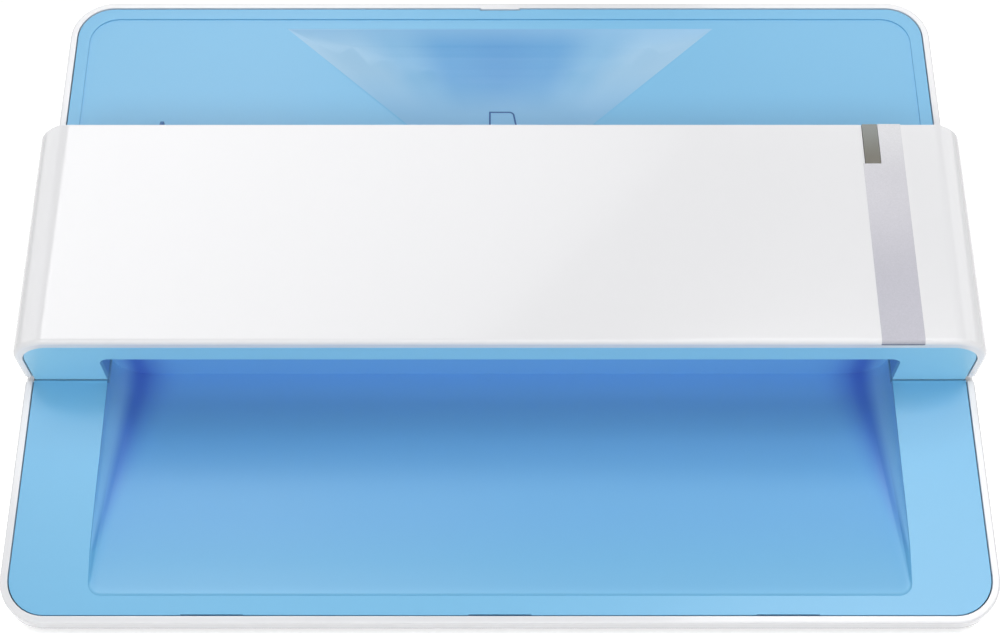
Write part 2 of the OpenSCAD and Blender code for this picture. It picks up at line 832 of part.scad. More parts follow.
module main_board() {
    color("darkgreen") difference() {
        union() {
            translate([board_x[0], board_y - board_d, board_z])
                cube([board_x[1] - board_x[0], board_d, board_t]);
            translate([ribbon_x - ribbon_w / 2 - plug_side, board_y - board_d + plug_in, board_z + board_t])
                cube([ribbon_w + 2 * plug_side, plug_d, plug_h]);
            for (c = chips) translate([c[0], board_y - c[1], board_z + board_t]) cube([c[2], c[3], c[4]]);
            for (x = cap_x)
                translate([x, board_y - cap_back, board_z + board_t]) cylinder(h = cap_h, r = cap_r);
        }
        translate([ribbon_x - ribbon_w / 2 - 2 * ribbon_slack, ribbon_y - ribbon_t / 2 - ribbon_slack,
            board_z + board_t + ribbon_seat])
            cube([ribbon_w + 4 * ribbon_slack, ribbon_t + 2 * ribbon_slack, plug_h]);
    }
}

module data_socket() {
    color("silver") translate([data_x - data_w / 2, back_y - 0.4 - data_d, board_z + board_t])
        difference() {
        cube([data_w, data_d, data_h]);
        translate([1.6, 6, 1.4]) cube([data_w - 3.2, data_d, data_h - 2.8]);
        translate([3, 5.5, 1]) cube([data_w - 6, data_d, data_h - 2]);
    }
    color("black") translate([data_x - 2.8, back_y - 0.4 - data_d + 5.5,
        board_z + board_t + data_h / 2 - 1.6])
        cube([5.6, 8.5, 3.2]);
}

module power_inlet() {
    mid = inlet_h / 2;
    color("black") translate([inlet_x - inlet_w / 2, back_y - 0.4 - inlet_d, board_z + board_t]) {
        difference() {
            cube([inlet_w, inlet_d, inlet_h]);
            translate([inlet_w / 2, 4, mid]) rotate([-90, 0, 0]) cylinder(h = inlet_d, r = inlet_r);
        }
        translate([inlet_w / 2, 3, mid]) rotate([-90, 0, 0]) cylinder(h = inlet_d - 5, r = inlet_pin_r);
    }
}

module power_switch() {
    rear = back_y - housing_wall - button_flange - button_travel - 0.6;
    color("black") translate([switch_x - 5, rear - switch_d, board_z + board_t]) cube([10, switch_d, 8]);
}

module power_button() {
    inner = back_y - housing_wall - free_gap;
    color("silver") translate([switch_x, 0, button_z]) {
        translate([-button_w / 2, inner - button_flange, -button_h / 2])
            cube([button_w, back_y + button_out - inner + button_flange, button_h]);
        translate([-button_w / 2 - 1, inner - button_flange, -button_h / 2 - 0.6])
            cube([button_w + 2, button_flange, button_h + 1.2]);
    }
}

module scan_ribbon() {
    top = [deck_py(scan_s, module_low - bracket_t), deck_pz(scan_s, module_low - bracket_t)];
    path = [top, top + [6, -6], [ribbon_y - 8, top[1] - 16], [ribbon_y, top[1] - 26],
        [ribbon_y, board_z + board_t + ribbon_seat]];
    color("ivory") across(ribbon_x - ribbon_w / 2, ribbon_x + ribbon_w / 2) polygon(strip(path, ribbon_t));
}

module sensor_pin() {
    reach = lever_half + cheek_t + 0.8;
    color("silver") on_deck() pin(-reach, reach, lever_s, lever_n, lever_pin_r);
}

module sensor_board() {
    face = lever_half + cheek_t + 0.8;
    color("darkgreen") on_deck() {
        box(face, face + 1.2, lever_s - 5, lever_s + 4, lever_n - 12, lever_n - 0.5);
        box(lever_half + 0.6, face + hair, lever_s - 2, lever_s + 4, lever_n - 10, lever_n - 4);
    }
}

module sensor_lever() {
    color("black") on_deck() across(-lever_half, lever_half) translate([lever_s, lever_n]) difference() {
        union() {
            circle(2.2);
            translate([-1, 0]) square([2, 7.1]);
            translate([-1, -8]) square([2, 8]);
        }
        circle(lever_pin_r + fit_gap);
    }
}

module feed_shaft() {
    color("silver") on_deck() geared_shaft(-plate_out - 1, feed_s, feed_n, shaft_r);
}

module exit_shaft() {
    color("silver") on_deck() geared_shaft(-plate_out - 1, exit_s, exit_n, shaft_r);
}

module tyres(s, n, r, bore_r) {
    for (x = tyre_x) across(x - tyre_l / 2, x + tyre_l / 2) translate([s, n]) difference() {
        circle(r);
        circle(bore_r);
    }
}

module feed_tyres() {
    color("dimgray") on_deck() tyres(feed_s, feed_n, feed_r, shaft_r + press_gap);
}

module exit_tyres() {
    color("dimgray") on_deck() tyres(exit_s, exit_n, exit_r, shaft_r + press_gap);
}

module feed_gear() {
    color("white") on_deck() gear(feed_z, feed_phase, feed_s, feed_n, shaft_r);
}

module exit_gear() {
    color("white") on_deck() gear(exit_z, exit_phase, exit_s, exit_n, shaft_r);
}

module idler_gear() {
    color("white") on_deck() gear(idler_z, 0, idler_s, idler_n, idler_shaft_r);
}

module idler_shaft() {
    color("silver") on_deck() {
        geared_shaft(plate_in - 1.5, idler_s, idler_n, idler_shaft_r);
        pin(plate_in - 3, plate_in - bush_flange_t - free_gap, idler_s, idler_n, idler_shaft_r + 1);
    }
}

module motor_shaft() {
    color("silver") on_deck() geared_shaft(plate_in - 9, pinion_s, pinion_n, motor_shaft_r);
}

module motor_pinion() {
    color("goldenrod") on_deck() gear(pinion_z, pinion_phase, pinion_s, pinion_n, motor_shaft_r);
}

module cover_side(low) {
    foot = cover_end - (cover_h - low) * tan(cover_lean);
    polygon([[cover_s, low + cover_nip], [cover_s + cover_nip, low], [foot, low], [cover_end, cover_h],
        [cover_s, cover_h]]);
}

module cover_shell() {
    color("white") on_deck() difference() {
        union() {
            difference() {
                intersection() {
                    along(cover_s - eps, cover_end + eps) arch(half_w, 0, cover_h, cover_corner_r);
                    across(-half_w - eps, half_w + eps) cover_side(cover_lift);
                }
                along(cover_s - 2 * eps, cover_end + 2 * eps)
                    arch(cover_in_half, -eps, cover_in_top, cover_in_r);
            }
            both_sides() pin(lug_in + lug_t + lug_gap, cover_in_half + 1, hinge_s, hinge_rise, barrel_r);
            for (s = post_s) both_sides()
                translate([post_x, s, upper_top]) cylinder(h = cover_in_top - upper_top + 1, r = post_r);
        }
        both_sides() pin(lug_in, cover_in_half - 0.3, hinge_s, hinge_rise, pin_r + fit_gap);
        for (s = post_s) both_sides() translate([post_x, s, 0])
            cylinder(h = upper_top + 10, r = screw_r + press_gap);
        box(strip_x0 - strip_gap, strip_x1 + strip_gap, cover_s - eps, cover_end + eps,
            cover_h - strip_t, cover_h + eps);
        box(strip_x0 - strip_gap, strip_x1 + strip_gap, cover_s - eps, cover_s + strip_t,
            cover_h - strip_wrap - wrap_gap, cover_h + eps);
        box(window_x0 - strip_gap, window_x1 + strip_gap, cover_end - window_l - strip_gap, cover_end + eps,
            cover_in_top - eps, cover_h + eps);
    }
}

module trim_strip() {
    color("lightgray") on_deck() difference() {
        union() {
            box(strip_x0, strip_x1, cover_s, cover_end, cover_h - strip_t, cover_h);
            box(strip_x0, strip_x1, cover_s, cover_s + strip_t, cover_h - strip_wrap, cover_h);
        }
        box(strip_x0 - eps, window_x1 + strip_gap, cover_end - window_l - strip_gap, cover_end + eps, 0,
            cover_h + eps);
    }
}

module indicator_window() {
    color("gray") on_deck() intersection() {
        box(window_x0, window_x1, cover_end - window_l, cover_end + eps, cover_in_top, cover_h);
        across(0, half_w) cover_side(0);
    }
}

module indicator_board() {
    color("darkgreen") on_deck() {
        box(window_x0 - 5, window_x1 + 5, cover_end - window_l - 6, cover_end - 7, cover_in_top - 2,
            cover_in_top - 0.6);
        box(window_x0 - 4, window_x0 - 1, cover_end - window_l - 5, cover_end - window_l - 2,
            cover_in_top - 0.7, cover_in_top);
        box(window_x0 + 1, window_x1 - 1, cover_end - window_l + 1, cover_end - window_l + 4,
            cover_in_top - 0.7, cover_in_top);
    }
}

module cover_face() {
    color("skyblue") on_deck() difference() {
        union() {
            along(cover_s + free_gap, face_back)
                arch(cover_in_half - free_gap, face_low, cover_in_top, cover_in_r - free_gap);
            along(face_back - hair, jamb_end)
                arch(mouth_w / 2 + jamb_t, jamb_low, mouth_h + jamb_t, mouth_r + jamb_t);
        }
        along(cover_s - eps, jamb_end + eps) arch(mouth_w / 2, jamb_low - eps, mouth_h, mouth_r);
    }
}

module entry_panel() {
    color("steelblue") on_deck() difference() {
        along(entry_s - entry_t, entry_s)
            arch(cover_in_half - free_gap, entry_h, cover_in_top, cover_in_r - free_gap);
        box(window_x0 - 6, window_x1 + 6, entry_s - 2 * entry_t, entry_s + eps, cover_in_top - 3,
            cover_in_top + eps);
    }
}

module upper_guide() {
    ramp = entry_s - entry_t;
    color("steelblue") on_deck() difference() {
        union() {
            across(-upper_half, upper_half) polygon([[upper_s0, upper_n + 0.8], [upper_s0 + 2, upper_n],
                [upper_s1, upper_n], [ramp, entry_h], [ramp, entry_h + 2], [upper_s1 - 1, upper_top],
                [upper_s0, upper_top]]);
            for (x = brackets, c = [[exit_s, exit_pinch_n], [feed_s, feed_pinch_n]])
                box(x - bracket_w / 2, x + bracket_w / 2, c[0] - bracket_rise, c[0] + bracket_rise,
                    upper_n + 0.5, c[1] + bracket_rise);
        }
        for (c = [[exit_s, exit_pinch_n], [feed_s, feed_pinch_n]]) {
            pin(-upper_half - eps, upper_half + eps, c[0], c[1], axle_r + press_gap);
            for (x = tyre_x) box(x - tyre_l / 2 - tyre_side, x + tyre_l / 2 + tyre_side,
                c[0] - pinch_r - 0.6,
                c[0] + pinch_r + 0.6, 0, c[1]);
        }
        box(-ref_w / 2 - free_gap, ref_w / 2 + free_gap, scan_s - ref_half - free_gap,
            scan_s + ref_half + free_gap,
            0, cover_h);
        for (s = post_s) both_sides() translate([post_x, s, 0]) {
            cylinder(h = upper_n + head_t / 2, r = head_r + free_gap);
            cylinder(h = cover_h, r = screw_r + 0.2);
        }
    }
}

module reference_bar() {
    color("white") on_deck() {
        box(-ref_w / 2, ref_w / 2, scan_s - ref_half, scan_s + ref_half, upper_n, upper_top + 1);
        box(-ref_w / 2, ref_w / 2, scan_s - ref_half - ref_flange, scan_s + ref_half + ref_flange,
            upper_top, upper_top + 1);
    }
}

module guide_screws() {
    color("silver") on_deck() for (s = post_s) both_sides()
        translate([post_x, s, upper_n - head_t / 2 + 0.05]) {
            cylinder(h = head_t - 0.05, r = head_r);
            cylinder(h = head_t + 9, r = screw_r);
        }
}

module feed_pinch_axle() {
    color("silver") on_deck() pin(-upper_half + 6, upper_half - 6, feed_s, feed_pinch_n, axle_r);
}

module exit_pinch_axle() {
    color("silver") on_deck() pin(-upper_half + 6, upper_half - 6, exit_s, exit_pinch_n, axle_r);
}

module pinch_springs() {
    base = upper_top + leaf_t / 2;
    top = exit_pinch_n + axle_r + leaf_t / 2 + press_gap;
    color("silver") on_deck() for (x = [-leaf_x, leaf_x]) across(x - leaf_w / 2, x + leaf_w / 2) {
        polygon(strip([[scan_s - 8, base], [exit_s + 5.5, base], [exit_s + 4.2, top + 0.5], [exit_s, top],
            [exit_s - 3, top + 0.6]], leaf_t));
        polygon(strip([[scan_s + 8, base], [feed_s - 5.5, base], [feed_s - 4.2, top + 0.5], [feed_s, top],
            [feed_s + 3, top + 0.6]], leaf_t));
    }
}

module feed_pinch_rollers() {
    color("gainsboro") on_deck() tyres(feed_s, feed_pinch_n, pinch_r, axle_r + fit_gap);
}

module exit_pinch_rollers() {
    color("gainsboro") on_deck() tyres(exit_s, exit_pinch_n, pinch_r, axle_r + fit_gap);
}

module paper_guide() {
    base = tray_top + free_gap;
    fence_h = 8;
    color("slategray") on_deck() {
        box(slide_x0 - neck_l, slide_x0, slot_s - 4, slot_s + 4, base, base + guide_plate_t);
        across(slide_x0 - fence_t, slide_x0)
            polygon([[slot_s - 4, base], [guide_tip, base], [guide_tip, base + 1],
            [slot_s + 3, fence_h], [slot_s - 2, fence_h], [slot_s - 4, fence_h - 2]]);
        box(slide_x0 - neck_l + 0.6, slide_x0 - 0.6, slot_s - slot_l / 2 + free_gap,
            slot_s + slot_l / 2 - free_gap,
            tray_low - free_gap, base + hair);
    }
}

module guide_clip() {
    color("slategray") on_deck() box(slide_x0 - neck_l - 1, slide_x0 + 8, slot_s - 4.2, slot_s + 4.2,
        tray_low - free_gap - clip_t, tray_low - free_gap);
}

deck_frame();
front_tray();
rear_tray();
lower_guide();
rear_housing();
bottom_plate();
rubber_feet();
case_screws();
deck_screws();
hinge_pins();
scan_module();
scan_glass();
module_bracket();
drive_plate();
side_plate();
roller_bushes();
drive_motor();
motor_screws();
main_board();
data_socket();
power_inlet();
power_switch();
scan_ribbon();
sensor_pin();
sensor_board();
feed_shaft();
feed_tyres();
feed_gear();
exit_shaft();
exit_tyres();
exit_gear();
idler_shaft();
idler_gear();
motor_shaft();
motor_pinion();
cover_shell();
cover_face();
entry_panel();
upper_guide();
reference_bar();
feed_pinch_axle();
exit_pinch_axle();
pinch_springs();
trim_strip();
indicator_window();
indicator_board();
guide_screws();
feed_pinch_rollers();
exit_pinch_rollers();
paper_guide();
guide_clip();
sensor_lever();
power_button();
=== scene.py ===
"""Looks of a desktop photo scanner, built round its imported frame.

Lengths are metres in the frame's axes: +X to the user's right, +Y to the back, +Z up.
"""

import contextlib
import json
import logging
import math
from dataclasses import dataclass, field
from enum import Enum
from typing import Callable, Iterator, Sequence

import bmesh
import bpy
from mathutils import Euler, Matrix, Vector

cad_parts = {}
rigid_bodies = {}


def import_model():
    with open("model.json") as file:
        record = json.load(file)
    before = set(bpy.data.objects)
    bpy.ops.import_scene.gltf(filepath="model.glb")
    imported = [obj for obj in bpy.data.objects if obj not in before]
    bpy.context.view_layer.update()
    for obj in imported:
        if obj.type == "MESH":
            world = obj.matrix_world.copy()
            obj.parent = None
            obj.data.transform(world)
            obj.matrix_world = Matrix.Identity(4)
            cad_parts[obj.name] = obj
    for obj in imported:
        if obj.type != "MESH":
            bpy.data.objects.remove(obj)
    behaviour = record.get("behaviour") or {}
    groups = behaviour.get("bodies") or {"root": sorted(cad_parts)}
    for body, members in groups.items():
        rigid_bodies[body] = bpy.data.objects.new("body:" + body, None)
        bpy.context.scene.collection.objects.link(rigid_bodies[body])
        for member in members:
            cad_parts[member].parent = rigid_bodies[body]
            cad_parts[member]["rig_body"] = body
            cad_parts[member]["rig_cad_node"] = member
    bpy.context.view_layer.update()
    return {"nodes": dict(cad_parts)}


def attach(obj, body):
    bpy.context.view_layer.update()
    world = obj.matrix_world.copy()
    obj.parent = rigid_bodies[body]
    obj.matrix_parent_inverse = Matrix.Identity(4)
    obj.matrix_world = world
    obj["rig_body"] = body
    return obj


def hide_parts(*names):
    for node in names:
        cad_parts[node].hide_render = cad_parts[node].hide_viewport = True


LOG = logging.getLogger("photo_scanner")
MM = 0.001
SKIN_PLAY = 0.1 * MM
Colour = tuple[float, float, float]
Span = tuple[float, float]
Piece = bpy.types.Object
Tree = bpy.types.NodeTree
Node = bpy.types.Node
Socket = bpy.types.NodeSocket
EdgeTest = Callable[[Vector], bool]


def srgb(red: float, green: float, blue: float) -> Colour:
    """Turns a screen colour into a linear one.

    Args:
        red, green, blue: screen values from 0 to 255.

    Returns:
        The linear colour.
    """
    def linear(value: float) -> float:
        """One channel."""
        share = value / 255
        return share / 12.92 if share <= 0.04045 else ((share + 0.055) / 1.055) ** 2.4

    return linear(red), linear(green), linear(blue)


class Body(str, Enum):
    """Bodies of the frame that new pieces ride on."""

    BASE = "base"
    COVER = "cover"
    GUIDE = "width_guide"
    BUTTON = "button"


class Surface(Enum):
    """Ways in which a finish varies over a piece, by the names of the effects that make them."""

    MOULDED = "moulded_grain"
    BRUSHED = "brushed_lines"
    FLAKE = "metal_flake"


@dataclass(frozen=True)
class DeckPlane:
    """Axes of the sloping deck: x across, s up the slope, n out of its face."""

    tilt: float = math.radians(45)
    front_y: float = -80.3273 * MM
    front_z: float = 5.0 * MM
    width: float = 289.0 * MM
    length: float = 217.2 * MM
    corner: float = 14.0 * MM

    def matrix(self) -> Matrix:
        """Returns the move from deck axes to the frame."""
        return Matrix.Translation((0, self.front_y, self.front_z)) @ Matrix.Rotation(self.tilt, 4, "X")

    def point(self, x: float, s: float, n: float) -> Vector:
        """Returns a deck point in the frame; all values in metres."""
        return self.matrix() @ Vector((x, s, n))

    def read(self, place: Vector) -> Vector:
        """Returns a frame point in deck axes."""
        return self.matrix().inverted() @ place

    def edge_gap(self, place: Vector) -> float:
        """Returns how far a frame point lies inside the deck's rounded outline."""
        x, s, _ = self.read(place)
        return rounded_gap(x, s - self.length / 2, self.width / 2, self.length / 2, self.corner)


def rounded_gap(x: float, y: float, half_x: float, half_y: float, corner: float) -> float:
    """Measures how far a point lies inside a rounded rectangle that is centred on zero.

    Args:
        x, y: the point.
        half_x, half_y: half the rectangle's sides.
        corner: its corner radius.

    Returns:
        The distance to the outline, positive inside.
    """
    over_x, over_y = abs(x) - half_x + corner, abs(y) - half_y + corner
    return corner - math.hypot(max(over_x, 0.0), max(over_y, 0.0)) - min(max(over_x, over_y), 0.0)


DECK = DeckPlane()


class Bench:
    """Hand tools: thin wrappers round Blender's operators."""

    @staticmethod
    def pick(*objects: Piece) -> None:
        """Selects these objects only; the last one is active."""
        bpy.ops.object.select_all(action="DESELECT")
        for one in objects:
            one.select_set(True)
        bpy.context.view_layer.objects.active = objects[-1]

    @staticmethod
    @contextlib.contextmanager
    def editing(piece: Piece) -> Iterator[None]:
        """Opens a piece in edit mode for the length of a with block."""
        Bench.pick(piece)
        bpy.ops.object.mode_set(mode="EDIT")
        try:
            yield
        finally:
            bpy.ops.object.mode_set(mode="OBJECT")

    @staticmethod
    def take_faces(piece: Piece, wanted: Callable[[Vector, Vector], bool]) -> int:
        """Selects the faces of the piece in edit mode that the test wants.

        Args:
            piece: the piece in edit mode.
            wanted: a test of a face's centre and normal.

        Returns:
            How many faces are selected.
        """
        mesh = bmesh.from_edit_mesh(piece.data)
        bpy.ops.mesh.select_all(action="DESELECT")
        bpy.ops.mesh.select_mode(type="FACE")
        for face in mesh.faces:
            face.select_set(bool(wanted(face.calc_center_median(), face.normal)))
        mesh.select_flush_mode()
        bmesh.update_edit_mesh(piece.data)
        return sum(face.select for face in mesh.faces)

    @staticmethod
    def take_edges(piece: Piece, sharp: float, wanted: EdgeTest) -> int:
        """Selects the edges of the piece in edit mode that are sharp and pass a test.

        Args:
            piece: the piece in edit mode.
            sharp: least angle between the faces, in radians.
            wanted: a test of the edge's middle.

        Returns:
            How many edges are selected.
        """
        mesh = bmesh.from_edit_mesh(piece.data)
        bpy.ops.mesh.select_all(action="DESELECT")
        bpy.ops.mesh.select_mode(type="EDGE")
        for edge in mesh.edges:
            middle = (edge.verts[0].co + edge.verts[1].co) / 2
            edge.select_set(edge.is_manifold and edge.calc_face_angle(0) > sharp and wanted(middle))
        mesh.select_flush_mode()
        bmesh.update_edit_mesh(piece.data)
        return sum(edge.select for edge in mesh.edges)

    @staticmethod
    def apply(piece: Piece, kind: str, **settings: object) -> None:
        """Adds a modifier to a piece and applies it.

        Args:
            piece: the piece.
            kind: Blender's name of the modifier type.
            settings: values of the modifier.
        """
        Bench.pick(piece)
        modifier = piece.modifiers.new(kind.lower(), kind)
        for key, value in settings.items():
            setattr(modifier, key, value)
        bpy.ops.object.modifier_apply(modifier=modifier.name)

    @staticmethod
    def settle(piece: Piece) -> None:
        """Puts a piece's place, turn and size into its mesh."""
        Bench.pick(piece)
        bpy.ops.object.transform_apply(location=True, rotation=True, scale=True)

    @staticmethod
    def smooth(
        piece: Piece,
        angle: float = math.radians(32),
        crease: float = math.radians(7),
        creased: EdgeTest = lambda middle: False,
    ) -> None:
        """Shades a piece smooth up to an angle and keeps its flat faces flat.

        Args:
            piece: the piece.
            angle: edges with a larger angle stay sharp.
            crease: the same limit for edges that the test wants.
            creased: a test of an edge's middle.
        """
        Bench.pick(piece)
        bpy.ops.object.shade_smooth_by_angle(angle=angle)
        with Bench.editing(piece):
            if Bench.take_edges(piece, crease, creased):
                bpy.ops.mesh.mark_sharp()
        Bench.apply(piece, "WEIGHTED_NORMAL", keep_sharp=True, weight=60)

    @staticmethod
    def cad_copy(node: Piece, name: str, merge_flat: bool = True) -> Piece:
        """Copies a frame node and merges its loose triangles into clean faces.

        Args:
            node: the frame's object.
            name: name of the copy.
            merge_flat: whether triangles in one plane become one face.

        Returns:
            The merged copy, tied to no body.
        """
        Bench.pick(node)
        bpy.ops.object.duplicate()
        copy = bpy.context.view_layer.objects.active
        copy.name = name
        copy.parent = None
        copy.matrix_world = Matrix.Identity(4)
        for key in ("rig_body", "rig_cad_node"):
            if key in copy:
                del copy[key]
        Bench.pick(copy)
        bpy.ops.mesh.customdata_custom_splitnormals_clear()
        with Bench.editing(copy):
            bpy.ops.mesh.select_all(action="SELECT")
            bpy.ops.mesh.remove_doubles(threshold=2e-6)
            if merge_flat:
                bpy.ops.mesh.dissolve_limited(angle_limit=math.radians(0.2))
        return copy

    @staticmethod
    def round_edges(
        piece: Piece,
        width: float,
        segments: int = 3,
        sharp: float = math.radians(35),
        wanted: EdgeTest = lambda middle: True,
    ) -> None:
        """Bevels the sharp edges of a piece.

        Args:
            piece: the piece.
            width: offset of the bevel.
            segments: faces across the bevel.
            sharp: least angle of an edge that is rounded.
            wanted: a test of an edge's middle.
        """
        with Bench.editing(piece):
            if Bench.take_edges(piece, sharp, wanted):
                bpy.ops.mesh.bevel(
                    offset=width, segments=segments, profile=0.5, affect="EDGES", clamp_overlap=False
                )

    @staticmethod
    def twin(piece: Piece, name: str, move: Vector) -> Piece:
        """Copies a piece with a mesh of its own.

        Args:
            piece: the piece to copy.
            name: name of the copy.
            move: how far the copy lies from the piece.

        Returns:
            The copy, with its place in its mesh.
        """
        Bench.pick(piece)
        bpy.ops.object.duplicate()
        copy = bpy.context.view_layer.objects.active
        copy.name = name
        copy.location = move
        Bench.settle(copy)
        return copy

    @staticmethod
    def join(pieces: Sequence[Piece], name: str) -> Piece:
        """Joins pieces into one object.

        Args:
            pieces: the pieces; all but the last are taken up.
            name: name of the joined piece.

        Returns:
            The joined piece.
        """
        Bench.pick(*pieces)
        bpy.ops.object.join()
        joined = bpy.context.view_layer.objects.active
        joined.name = name
        joined.data.name = name
        return joined

    @staticmethod
    def bar(name: str, size: Sequence[float], edge: float) -> Piece:
        """Makes a bar round zero with soft edges.

        Args:
            name: name of the bar.
            size: its three sides.
            edge: width of the rounded edges.

        Returns:
            The bar.
        """
        bpy.ops.object.select_all(action="DESELECT")
        bpy.ops.mesh.primitive_cube_add(size=1.0)
        piece = bpy.context.view_layer.objects.active
        piece.name = name
        piece.scale = size
        Bench.settle(piece)
        Bench.round_edges(piece, edge, 2)
        return piece

    @staticmethod
    def row(piece: Piece, name: str, places: Sequence[Vector]) -> Piece:
        """Copies a piece to several places and joins the copies.

        Args:
            piece: the piece at zero; it is taken away.
            name: name of the joined copies.
            places: where the copies go.

        Returns:
            The joined copies.
        """
        copies = [Bench.twin(piece, name, place) for place in places]
        bpy.data.objects.remove(piece)
        return Bench.join(copies, name)

    @staticmethod
    def cut_crosses(
        piece: Piece, facing: Vector, reach: float, width: float, depth: float, edge: float = 0.05 * MM
    ) -> None:
        """Cuts a cross slot into each head of a set of screws.

        Args:
            piece: the screws.
            facing: the way that their heads face.
            reach: length of the slots.
            width: width of the slots.
            depth: depth of the slots.
            edge: width of their rounded edges.
        """
        heads = [
            face.center.copy() for face in piece.data.polygons
            if face.normal.dot(facing) > 0.999 and face.area > reach * reach
        ]
        sizes = ((reach, width, 2 * depth), (width, reach, 2 * depth))
        cross = Bench.join([Bench.bar("slot", size, edge) for size in sizes], "cross_slot")
        cross.matrix_world = facing.to_track_quat("Z", "Y").to_matrix().to_4x4()
        Bench.settle(cross)
        cutter = Bench.row(cross, "cross_slots", heads)
        Bench.apply(piece, "BOOLEAN", operation="DIFFERENCE", object=cutter, solver="EXACT", use_self=True)
        bpy.data.objects.remove(cutter)


class Effects:
    """Shader node groups that several finishes share."""

    made: dict[str, Tree] = {}
    bump_reach: float = 0.1 * MM
    speck_share: float = 0.4
    uneven_gloss: float = 0.12

    @classmethod
    def group(cls, surface: Surface) -> Tree:
        """Returns the group of a surface, built at its first use."""
        if surface.value not in cls.made:
            cls.made[surface.value] = getattr(cls, surface.value)(surface.value)
        return cls.made[surface.value]

    @staticmethod
    def shell(name: str) -> tuple[Tree, Node, Node]:
        """Makes an empty group with the sockets that all effects have.

        Args:
            name: name of the group.

        Returns:
            The tree, its input node and its output node.
        """
        tree = bpy.data.node_groups.new(name, "ShaderNodeTree")
        inputs = (
            ("Colour", "NodeSocketColor", (0.8, 0.8, 0.8, 1)),
            ("Roughness", "NodeSocketFloat", 0.4),
            ("Scale", "NodeSocketFloat", 900.0),
            ("Depth", "NodeSocketFloat", 0.1),
            ("Mottle", "NodeSocketFloat", 0.04),
        )
        for label, kind, value in inputs:
            tree.interface.new_socket(label, in_out="INPUT", socket_type=kind).default_value = value
        for label, kind in (("Colour", "Color"), ("Roughness", "Float"), ("Normal", "Vector")):
            tree.interface.new_socket(label, in_out="OUTPUT", socket_type="NodeSocket" + kind)
        return tree, tree.nodes.new("NodeGroupInput"), tree.nodes.new("NodeGroupOutput")

    @staticmethod
    def feed(tree: Tree, slot: Socket, value: object) -> None:
        """Links a socket to an input, or sets the input to a plain value."""
        if isinstance(value, Socket):
            tree.links.new(value, slot)
        else:
            slot.default_value = value

    @classmethod
    def node(cls, tree: Tree, kind: str, inputs: dict[str, object]) -> Node:
        """Adds a shader node.

        Args:
            tree: the node tree.
            kind: Blender's name of the node type, without its first words.
            inputs: plain values or sockets for the node's inputs.

        Returns:
            The node.
        """
        node = tree.nodes.new("ShaderNode" + kind)
        for label, value in inputs.items():
            cls.feed(tree, node.inputs[label], value)
        return node

    @staticmethod
    def place(tree: Tree) -> Socket:
        """Returns the place on the piece, in the frame's axes."""
        return tree.nodes.new("ShaderNodeTexCoord").outputs["Object"]

    @classmethod
    def ramp(cls, tree: Tree, place: Socket, stops: Sequence[tuple[float, Colour]], blend: str) -> Socket:
        """Adds a colour ramp.

        Args:
            tree: the node tree.
            place: the place along the ramp.
            stops: places and colours, in order from zero outwards.
            blend: how a colour runs into the next one.

        Returns:
            The colour's socket.
        """
        last = stops[-1][0]
        node = tree.nodes.new("ShaderNodeValToRGB")
        node.color_ramp.interpolation = blend
        points = node.color_ramp.elements
        while len(points) < len(stops):
            points.new(0.5)
        for point, (level, colour) in zip(points, stops):
            point.position = level / last
            point.color = (*colour, 1.0)
        tree.links.new(cls.calc(tree, "DIVIDE", place, last), node.inputs[0])
        return node.outputs[0]

    @classmethod
    def calc(cls, tree: Tree, operation: str, *values: object) -> Socket:
        """Adds a Math node.

        Args:
            tree: the node tree.
            operation: Blender's name of the operation.
            values: numbers or sockets.

        Returns:
            The result's socket.
        """
        node = tree.nodes.new("ShaderNodeMath")
        node.operation = operation
        for slot, value in zip(node.inputs, values):
            cls.feed(tree, slot, value)
        return node.outputs[0]

    @classmethod
    def tint(cls, tree: Tree, share: object, first: object, second: object, blend: str = "MIX") -> Socket:
        """Adds a colour Mix node.

        Args:
            tree: the node tree.
            share: how much of the second colour, a number or a socket.
            first: the first colour, or its socket.
            second: the second colour, or its socket.
            blend: blend mode.

        Returns:
            The mixed colour's socket.
        """
        node = tree.nodes.new("ShaderNodeMix")
        node.data_type = "RGBA"
        node.blend_type = blend
        for slot, value in ((node.inputs[0], share), (node.inputs[6], first), (node.inputs[7], second)):
            cls.feed(tree, slot, value if isinstance(value, (float, Socket)) else (*value, 1.0))
        return node.outputs[2]

    @classmethod
    def finish_group(cls, tree: Tree, entry: Node, leave: Node, fine: Socket, stretch: Sequence[float]) -> Tree:
        """Wires a fine pattern into colour, roughness and normal.

        Args:
            tree: the group.
            entry: its input node.
            leave: its output node.
            fine: the fine pattern, about 0 to 1.
            stretch: scale of the broad mottle along each axis.

        Returns:
            The group.
        """
        mapping = cls.node(tree, "Mapping", {"Vector": cls.place(tree), "Scale": stretch})
        broad = cls.node(tree, "TexNoise", {"Vector": mapping.outputs["Vector"], "Scale": 1.0, "Detail": 3.0})
        centred = cls.calc(tree, "SUBTRACT", broad.outputs["Fac"], 0.5)
        speck = cls.calc(tree, "SUBTRACT", fine, 0.5)
        mixed = cls.calc(tree, "ADD", centred, cls.calc(tree, "MULTIPLY", speck, cls.speck_share))
        gain = cls.calc(tree, "ADD", cls.calc(tree, "MULTIPLY", mixed, entry.outputs["Mottle"]), 1.0)
        level = tree.nodes.new("ShaderNodeCombineColor")
        for slot in level.inputs:
            tree.links.new(gain, slot)
        colour = cls.tint(tree, 1.0, entry.outputs["Colour"], level.outputs[0], "MULTIPLY")
        uneven = cls.calc(tree, "MULTIPLY", mixed, cls.uneven_gloss)
        bump = cls.node(
            tree, "Bump", {"Distance": cls.bump_reach, "Strength": entry.outputs["Depth"], "Height": fine}
        )
        tree.links.new(colour, leave.inputs["Colour"])
        tree.links.new(cls.calc(tree, "ADD", entry.outputs["Roughness"], uneven), leave.inputs["Roughness"])
        tree.links.new(bump.outputs["Normal"], leave.inputs["Normal"])
        return tree

